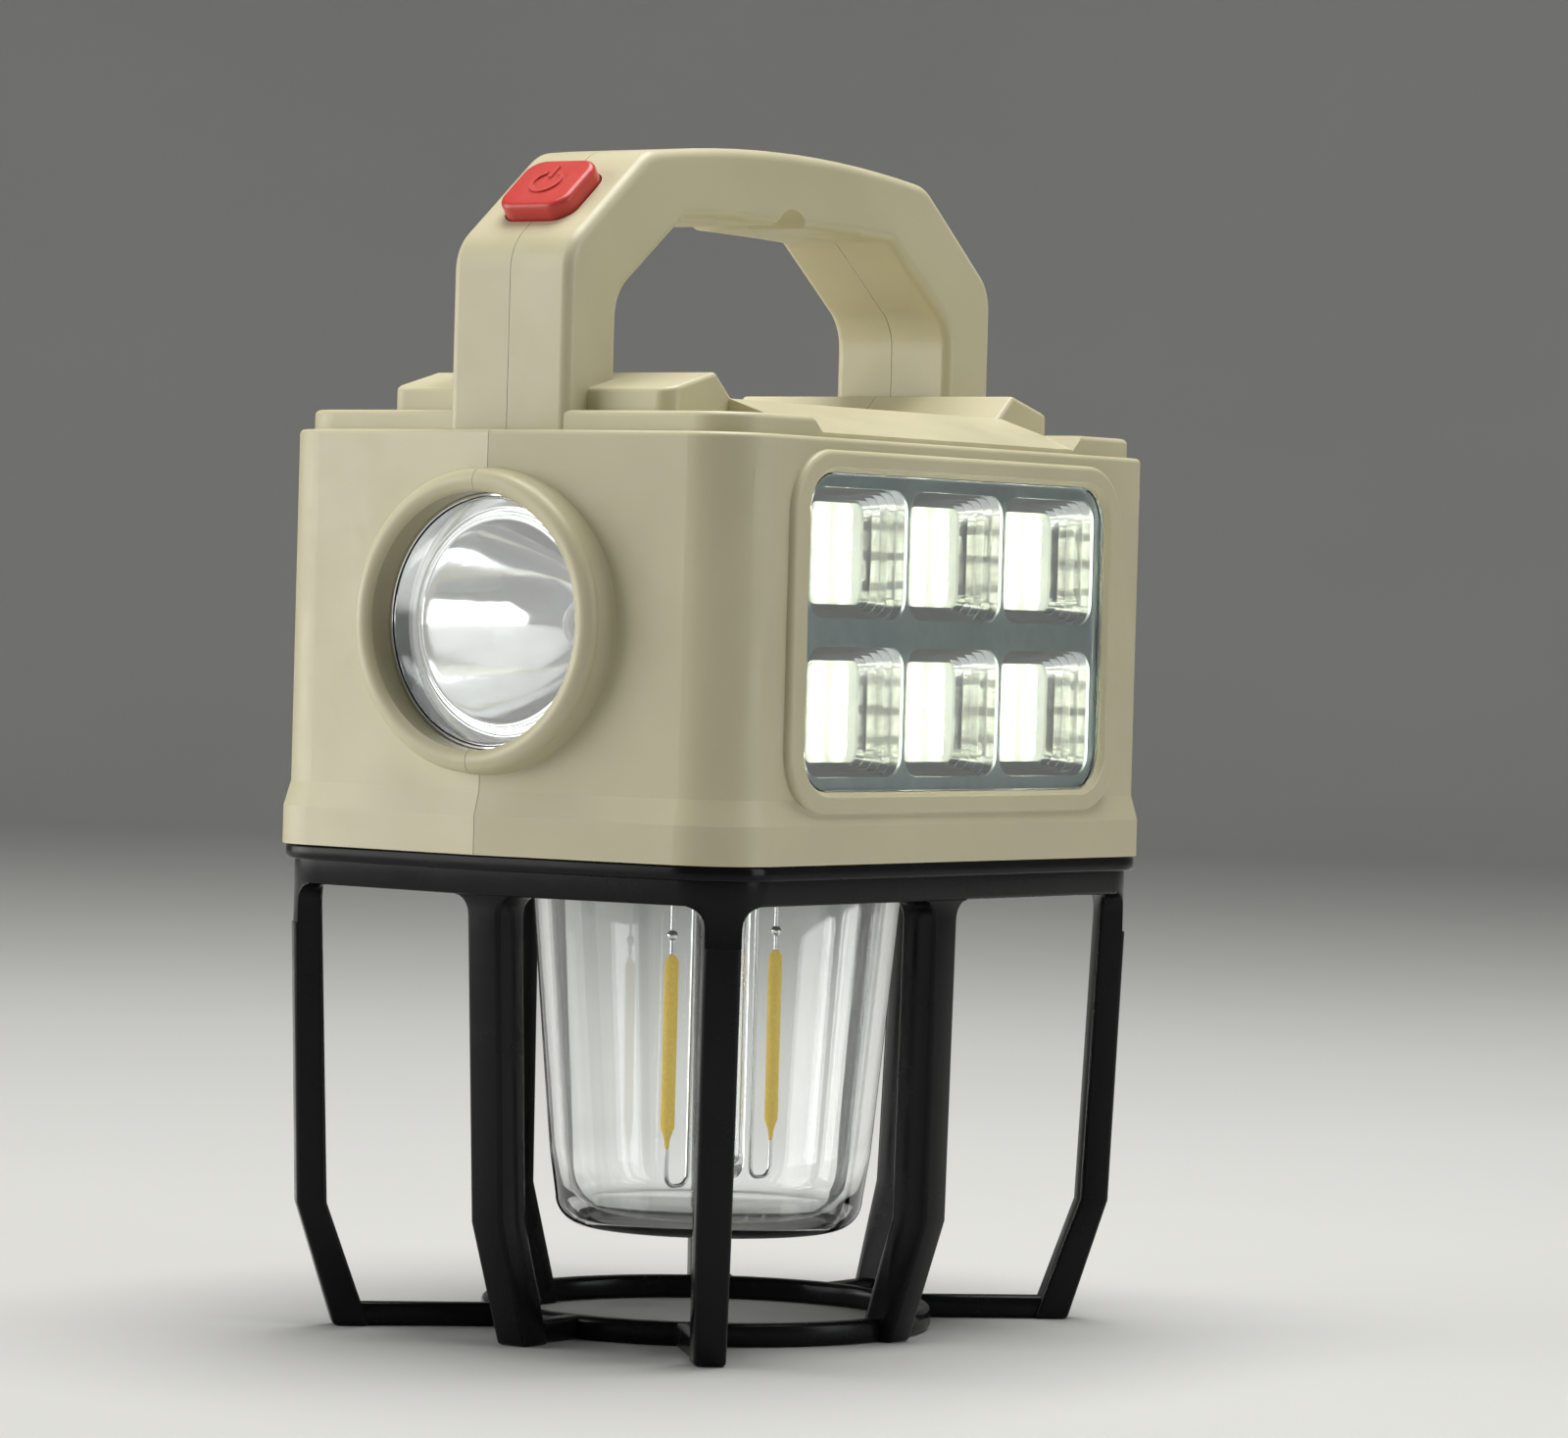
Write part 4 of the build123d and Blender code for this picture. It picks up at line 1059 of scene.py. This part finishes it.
@dataclass
class Lamp:
    """The globe and the filament lamp inside it."""

    palette: Palette
    top_r: float = 31.3
    bottom_r: float = 25.3
    z_bottom: float = 15.7
    wall: float = 2.3
    floor: float = 2.3
    corner_r: float = 5.0
    flange_r: float = 35.0
    z_flange: float = 81.5
    flange_t: float = 2.2
    stem_r: float = 4.0
    bore_r: float = 2.6
    z_stem_low: float = 22.4
    z_stem_high: float = 78.7
    lamp_x: float = 2.0
    filament_y: float = 14.5
    filament_r: float = 1.15
    z_low: float = 29.6
    z_high: float = 61.2
    lead_r: float = 0.38
    lead_y: float = 8.8
    z_lead_low: float = 22.9

    def globe(self) -> Piece:
        """The clear cup with a thick floor and a flange.

        Returns:
            The cup.
        """
        slope = (self.top_r - self.bottom_r) / (self.z_flange - self.z_bottom)
        inner_low = self.bottom_r - self.wall
        outside = [(0.0, self.z_bottom), (self.bottom_r - self.corner_r - 0.8, self.z_bottom)]
        corner = (self.bottom_r - self.corner_r, self.z_bottom + self.corner_r)
        outside += arc(corner, self.corner_r, -90, 0, 10)
        for i in range(1, 9):
            z = self.z_bottom + self.corner_r + (self.z_flange - self.z_bottom - self.corner_r) * i / 8
            outside.append((self.bottom_r + slope * (z - self.z_bottom), z))
        flange = [(self.flange_r, self.z_flange), (self.flange_r, self.z_flange + self.flange_t)]
        inside = [(self.top_r - self.wall, self.z_flange + self.flange_t)]
        for i in range(8, 0, -1):
            z = self.z_bottom + 7 + (self.z_flange - self.z_bottom - 7) * (i - 1) / 8
            inside.append((inner_low + slope * (z - self.z_bottom), z))
        inside += arc((inner_low - 3.4, self.z_bottom + self.floor + 3.4), 3.4, -8, -90, 8)[1:]
        inside += [(inner_low - 4.2, self.z_bottom + self.floor), (0.0, self.z_bottom + self.floor)]
        cup = lathe("globe_cup", outside + flange + inside, 128)
        smooth(cup, 40)
        return cup

    def stem(self) -> Piece:
        """The hollow glass stem with a fused round tip.

        Returns:
            The stem.
        """
        tip = arc((0, self.z_stem_low + self.stem_r), self.stem_r, -90, 0, 8)
        bore = arc((0, self.z_stem_low + 6), self.bore_r, 0, -90, 6)
        profile = tip + [(self.stem_r, self.z_stem_high), (self.bore_r, self.z_stem_high)] + bore
        stem = lathe("filament_stem_glass", profile, 48)
        smooth(stem, 40)
        turn(stem, Matrix.Translation(mm(self.lamp_x, 0, 0)))
        return stem

    def filament(self, side: int) -> Piece:
        """One phosphor-coated filament, with tapered ends.

        Args:
            side: -1 or 1, its side of the lamp along Y.

        Returns:
            The filament.
        """
        half = (self.z_high - self.z_low) / 2
        profile = [(0.0, -half), (0.3, -half), (0.5, -half + 1.6), (self.filament_r, -half + 3.4)]
        profile += [(self.filament_r, half - 1.2), (0.6, half - 0.3), (0.3, half), (0.0, half)]
        stick = lathe("filament", profile, 24)
        smooth(stick, 50)
        middle = mm(self.lamp_x, side * self.filament_y, (self.z_low + self.z_high) / 2)
        turn(stick, Matrix.Translation(middle))
        return stick

    def leads(self, side: int) -> list[Piece]:
        """The wires of one filament: a straight one with a bead, and a hook that comes back up.

        Args:
            side: -1 or 1, the filament's side of the lamp along Y.

        Returns:
            The hook, the straight wire and the bead.
        """
        x, y, near, low = self.lamp_x, side * self.filament_y, side * self.lead_y, self.z_lead_low
        hook = [(x, y, self.z_low), (x, y, low), (x, near, low), (x, near, self.z_stem_high + 1)]
        rise = [(x, y, self.z_high), (x, y, self.z_flange + self.flange_t + 0.3)]
        bead = lathe("bead", [(0.0, -0.9)] + arc((0, 0), 0.9, -75, 75, 6) + [(0.0, 0.9)], 16)
        turn(bead, Matrix.Translation(mm(x, y, self.z_high + 3.0)))
        return [wire("hook", hook, self.lead_r, 2.2), wire("rise", rise, self.lead_r, 1.5), bead]

    def build(self) -> None:
        """Make the globe and the lamp."""
        seat(self.globe(), self.palette(GLOBE_CLEAR), ["globe"])
        seat(self.stem(), self.palette(STEM_GLASS), ["filament_stem"])
        sticks = join([self.filament(side) for side in (-1, 1)], "filament_sticks")
        seat(sticks, self.palette(FILAMENT), ["filaments"])
        wires = join([w for side in (-1, 1) for w in self.leads(side)], "filament_wires")
        smooth(wires, 60)
        seat(wires, self.palette(LEAD_WIRE), ["filament_leads"])


@dataclass
class Torch:
    """The torch's reflector, lens and LED, turned about the Y direction at the torch's height."""

    palette: Palette
    z: float = 114.4
    rim_y: float = 62.3
    back_y: float = 36.0
    bore_r: float = 20.1
    lens_t: float = 0.8
    lens_sink: float = 0.3
    lip_t: float = 0.5
    step_r: float = 15.9
    step_depth: float = 3.6
    hole_r: float = 4.0
    chip_side: float = 5.0
    chip_t: float = 0.9
    dome_r: float = 2.2
    board_drop: float = 1.4

    def aim(self, piece: Piece) -> Piece:
        """Turn a piece made about +Z so that it looks along -Y at the torch's height."""
        turn(piece, Matrix.Translation(mm(0, 0, self.z)) @ Matrix.Rotation(math.radians(90), 4, "X"))
        return piece

    def bowl_profile(self) -> Profile:
        """The paraboloid from the LED's hole out to the step.

        Returns:
            Its points as (radius, how far forward).
        """
        depth = self.rim_y - self.step_depth - self.back_y
        points = []
        for i in range(25):
            r = self.hole_r + (self.step_r - self.hole_r) * i / 24
            share = (r**2 - self.hole_r**2) / (self.step_r**2 - self.hole_r**2)
            points.append((r, self.back_y + depth * share))
        return points

    def reflector(self) -> Piece:
        """The metallised bowl, the ridge round it, its cone and the lip that holds the lens.

        Returns:
            The bowl, as one shell.
        """
        step = self.rim_y - self.step_depth
        seat_y = self.rim_y - self.lens_sink - self.lens_t - 0.05
        lip_r = self.bore_r - self.lip_t
        hem_y = self.back_y - 1.2
        collar = [(self.hole_r, hem_y), (self.hole_r, self.back_y + 0.3)]
        ridge = arc((self.step_r + 0.45, step), 0.45, 180, 20, 8)
        groove = [(self.step_r + 1.0, step - 0.35), (self.step_r + 1.35, step - 0.3)]
        cone = [(self.step_r + 1.6, step + 0.1), (lip_r - 0.25, seat_y - 0.15), (lip_r - 0.05, seat_y)]
        lip = [(lip_r, self.rim_y - 0.1), (lip_r + 0.1, self.rim_y), (self.bore_r - 0.1, self.rim_y)]
        wall = [(self.bore_r, self.rim_y - 0.1), (self.bore_r, step - 1.6)]
        back = [(self.step_r + 1.4, step - 2.0), (self.hole_r + 6.0, hem_y), (self.hole_r, hem_y)]
        inside = collar + self.bowl_profile()[1:] + ridge + groove + cone
        bowl = lathe("torch_bowl", inside + lip + wall + back, 160)
        smooth(bowl, 35)
        return self.aim(bowl)

    def lens(self) -> Piece:
        """The thin clear lens, set just inside the lip, with a softly rounded rim.

        Returns:
            The lens.
        """
        front = self.rim_y - self.lens_sink
        back = front - self.lens_t
        radius = self.bore_r - self.lip_t - 0.1
        edge = arc((radius - 0.3, front - 0.3), 0.3, 90, 0, 4)
        profile = [(0.0, front), (8.0, front), (radius - 0.6, front), *edge]
        profile += [(radius, back), (radius - 0.6, back), (8.0, back), (0.0, back)]
        disc = lathe("torch_window", profile, 96)
        smooth(disc, 40)
        return self.aim(disc)

    def led_ring(self) -> Piece:
        """The white collar round the LED.

        Returns:
            The collar.
        """
        low = self.back_y + 0.1
        inner, outer = self.hole_r - 0.1, self.hole_r + 1.3
        foot = (inner, low - 0.6)
        profile = [foot, (inner, low + 0.3), (inner + 0.2, low + 0.5), (outer - 0.3, low + 0.5)]
        profile += [(outer, low + 0.2), (outer, low - 0.6), foot]
        ring = lathe("torch_collar", profile, 64)
        smooth(ring, 40)
        return self.aim(ring)

    def led(self) -> Piece:
        """The LED: a square package with a domed lens.

        Returns:
            The LED.
        """
        side, thick, radius, low = self.chip_side, self.chip_t, self.dome_r, self.back_y - 0.6
        base = block("torch_chip", (side, side, thick), (0, 0, self.back_y - self.board_drop + thick / 2))
        round_edges(base, 0.25, 2, 40)
        foot = [(radius, low - 0.2), (0.0, low - 0.2)]
        dome = lathe("dome", [(0.0, low + radius), *arc((0, low), radius, 88, 0, 8), *foot], 32)
        chip = join([base, dome], "torch_chip")
        smooth(chip, 40)
        return self.aim(chip)

    def build(self) -> None:
        """Make the torch."""
        seat(self.reflector(), self.palette(CHROME), ["torch_reflector"])
        seat(self.lens(), self.palette(LENS_CLEAR), ["torch_lens"])
        seat(self.led(), self.palette(TORCH_CHIP), ["torch_led"])
        seat(self.led_ring(), self.palette(BOARD_WHITE))


@dataclass
class FloodLight:
    """The flood light: a clear cover over a satin frame and six stepped, metallised cells of LED chips."""

    palette: Palette
    x_out: float = 46.5
    lens_t: float = 1.8
    x_board: float = 39.6
    mid_z: float = 114.1
    window_y: float = 84.6
    window_z: float = 49.7
    corner_r: float = 6.5
    pitch: float = 27.2
    rise: float = 12.425
    mouth: Pair = (26.4, 20.45)
    mouth_r: float = 3.5
    floor: Pair = (15.0, 16.0)
    frame_t: float = 0.5
    terraces: int = 6
    chip: tuple[float, float, float] = (0.7, 2.0, 2.6)
    chip_pitch: Pair = (6.2, 3.7)
    chip_columns: int = 2
    chip_rows: int = 4

    def cells(self) -> list[Pair]:
        """The middle of each cell, as (y, z)."""
        return [(self.pitch * i, self.mid_z + j * self.rise) for i in (-1, 0, 1) for j in (-1, 1)]

    def slab(self, name: str, x: float, depth: float, size: Pair, middle: Pair, radius: float) -> Piece:
        """A rounded slab across X.

        Args:
            name: the piece's name.
            x: its inner face.
            depth: its thickness, towards +X.
            size: its width along Y and its height.
            middle: its middle, as (y, z).
            radius: its corners' radius.

        Returns:
            The slab.
        """
        piece = block(name, (depth, *size), (x + depth / 2, *middle))
        with editing(piece):
            pick(Kind.EDGE, lambda e: abs(e.verts[0].co.x - e.verts[1].co.x) > depth * MM * 0.9)
            bpy.ops.mesh.bevel(offset=radius * MM, segments=6, affect="EDGES")
        return piece

    def panel(self, name: str, x: float, depth: float) -> Piece:
        """A slab that fills the window."""
        return self.slab(name, x, depth, (self.window_y, self.window_z), (0, self.mid_z), self.corner_r)

    def lens(self) -> Piece:
        """The clear cover, its rim softly rounded.

        Returns:
            The cover.
        """
        cover = self.panel("flood_window", self.x_out - self.lens_t, self.lens_t)
        round_edges(cover, 0.35, 3, 50)
        smooth(cover, 12)
        return cover

    def pocket(self, middle: Pair, high: float, low: float) -> Piece:
        """The space inside one cell, narrowing in terraces from its mouth to its floor.

        Args:
            middle: the cell's middle, as (y, z).
            high: the x of its mouth.
            low: the x of its floor.

        Returns:
            A closed shell that stands a little out of the mouth.
        """
        drop = (high - low) / self.terraces
        shell = self.slab("pocket", high - drop, drop + 1.0, self.mouth, middle, self.mouth_r)
        width, height = self.mouth
        with editing(shell):
            for i in range(1, self.terraces):
                x = high - drop * i
                share = i / (self.terraces - 1)
                new = [a + (b - a) * share for a, b in zip(self.mouth, self.floor)]
                pick(Kind.FACE, lambda f: abs(centre_of(f).x - x * MM) < 10 * CLOSE and f.normal.x < -0.9)
                extrude((0, 0, 0))
                scale((1, new[0] / width, new[1] / height), mm(x, *middle))
                extrude(mm(-drop, 0, 0))
                width, height = new
            tidy_shell()
        return shell

    def reflector(self) -> Piece:
        """The metallised moulding with six terraced cells.

        Returns:
            The moulding.
        """
        high = self.x_out - self.lens_t - self.frame_t - 0.05
        body = self.panel("flood_cells", self.x_board + 0.02, high - self.x_board - 0.02)
        for middle in self.cells():
            hollow = self.pocket(middle, high, self.x_board - 0.3)
            apply_modifier(body, "BOOLEAN", operation="DIFFERENCE", solver="EXACT", object=hollow)
            bpy.data.objects.remove(hollow)
        smooth(body, 30)
        return body

    def frame(self) -> Piece:
        """The thin satin plate over the cells, with a rounded opening for each.

        Returns:
            The plate.
        """
        x = self.x_out - self.lens_t - self.frame_t - 0.03
        plate = self.panel("flood_frame", x, self.frame_t)
        for middle in self.cells():
            hole = self.slab("hole", x - 1, self.frame_t + 2, self.mouth, middle, self.mouth_r)
            apply_modifier(plate, "BOOLEAN", operation="DIFFERENCE", solver="EXACT", object=hole)
            bpy.data.objects.remove(hole)
        smooth(plate, 30)
        return plate

    def chips(self) -> Piece:
        """The LED chips on the floor of every cell.

        Returns:
            All the chips, joined.
        """
        made = []
        x = self.x_board + 0.03 + self.chip[0] / 2
        for y, z in self.cells():
            for column in range(self.chip_columns):
                for row in range(self.chip_rows):
                    side = (column - (self.chip_columns - 1) / 2) * self.chip_pitch[0]
                    up = (row - (self.chip_rows - 1) / 2) * self.chip_pitch[1]
                    made.append(block("chip", self.chip, (x, y + side, z + up)))
        whole = join(made, "flood_chips")
        round_edges(whole, 0.15, 2, 50)
        smooth(whole, 40)
        return whole

    def build(self) -> None:
        """Make the flood light."""
        seat(self.lens(), self.palette(LENS_CLEAR), ["flood_lens"])
        seat(self.reflector(), self.palette(CHROME), ["flood_reflector"])
        seat(self.frame(), self.palette(SATIN_PLATE))
        seat(self.chips(), self.palette(FLOOD_GLOW), ["flood_leds"])


# ------------------------------------------------------------------ studio


@dataclass
class Studio:
    """Camera, soft lights and a plain pale floor."""

    eye: Point = (597.4, -820.6, 115.8)
    look: Point = (-0.5802, 0.8142, -0.0160)
    roll: float = 1.54
    lens: float = 141.6
    target: Point = (0.0, 0.0, 100.0)
    backdrop: Colour = (0.56, 0.56, 0.545, 1.0)
    floor_r: float = 2200.0
    sweep_r: float = 900.0
    wall_z: float = 3200.0

    def camera(self) -> None:
        """The camera, a little above the lantern's middle, rolled slightly."""
        data = bpy.data.cameras.new("camera")
        data.lens = self.lens
        data.sensor_width = 36.0
        data.clip_start, data.clip_end = 0.01, 50.0
        camera = bpy.data.objects.new("camera", data)
        bpy.context.scene.collection.objects.link(camera)
        facing = Vector(self.look).to_track_quat("-Z", "Y").to_matrix().to_4x4()
        rolled = facing @ Matrix.Rotation(math.radians(self.roll), 4, "Z")
        camera.matrix_world = Matrix.Translation(mm(*self.eye)) @ rolled
        bpy.context.scene.camera = camera

    def light(self, name: str, place: Point, size: Pair, power: float, colour: Colour) -> None:
        """One soft box that faces the lantern.

        Args:
            name: the light's name.
            place: where it stands, in millimetres.
            size: its two sides, in millimetres.
            power: its power in watts.
            colour: its colour.
        """
        data = bpy.data.lights.new(name, "AREA")
        data.shape = "RECTANGLE"
        data.size, data.size_y = (s * MM for s in size)
        data.energy = power
        data.color = colour[:3]
        lamp = bpy.data.objects.new(name, data)
        bpy.context.scene.collection.objects.link(lamp)
        aim = (mm(*self.target) - mm(*place)).to_track_quat("-Z", "Y")
        lamp.matrix_world = Matrix.Translation(mm(*place)) @ aim.to_matrix().to_4x4()

    def floor(self) -> None:
        """A pale floor that curves up into a wall all round."""
        sweep = arc((self.floor_r, self.sweep_r), self.sweep_r, -90, 0, 12)
        profile = [(0.0, 0.0), (self.floor_r / 2, 0.0), *sweep, (self.floor_r + self.sweep_r, self.wall_z)]
        floor = lathe("floor", profile, 64)
        with editing(floor):
            bpy.ops.mesh.select_all(action="SELECT")
            bpy.ops.mesh.normals_make_consistent(inside=True)
        smooth(floor, 60)
        bench = Bench("pale_floor")
        patch = bench.ramp(bench.noise(400.0, 3.0), 0.3, 0.7)
        bench.link(bench.mix(patch, self.backdrop, shaded(self.backdrop, 0.96)), "Base Color")
        bench.set(Roughness=0.6)
        floor.data.materials.append(bench.material)

    def build(self) -> None:
        """Set up the studio."""
        self.camera()
        self.floor()
        white: Colour = (1.0, 0.99, 0.97, 1.0)
        self.light("key", (-1100, -1000, 420), (1300, 1100), 16.0, white)
        self.light("low", (-1250, -500, 130), (900, 260), 2.6, white)
        self.light("top", (0, 150, 1300), (900, 900), 22.0, white)
        self.light("right", (1300, 350, 450), (500, 900), 4.5, (0.96, 0.98, 1.0, 1.0))
        world = bpy.data.worlds.new("studio")
        bpy.context.scene.world = world
        world.use_nodes = True
        world.node_tree.nodes["Background"].inputs["Color"].default_value = (0.80, 0.82, 0.82, 1.0)
        world.node_tree.nodes["Background"].inputs["Strength"].default_value = 0.2
        bpy.context.scene.view_settings.view_transform = "Standard"


def main() -> None:
    """Dress the frame's nodes, build each sub-assembly and set up the studio."""
    logging.basicConfig(level=logging.INFO, format="%(name)s: %(message)s")
    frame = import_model()
    bpy.ops.object.select_all(action="DESELECT")
    palette = Palette()
    Carried(frame["nodes"], palette).dress()
    cage_nodes = [name for name in frame["nodes"] if name.startswith("cage_") and name != "cage_screws"]
    Cage(palette).build(cage_nodes)
    Lamp(palette).build()
    Torch(palette).build()
    FloodLight(palette).build()
    Studio().build()


if __name__ == "__main__":
    main()
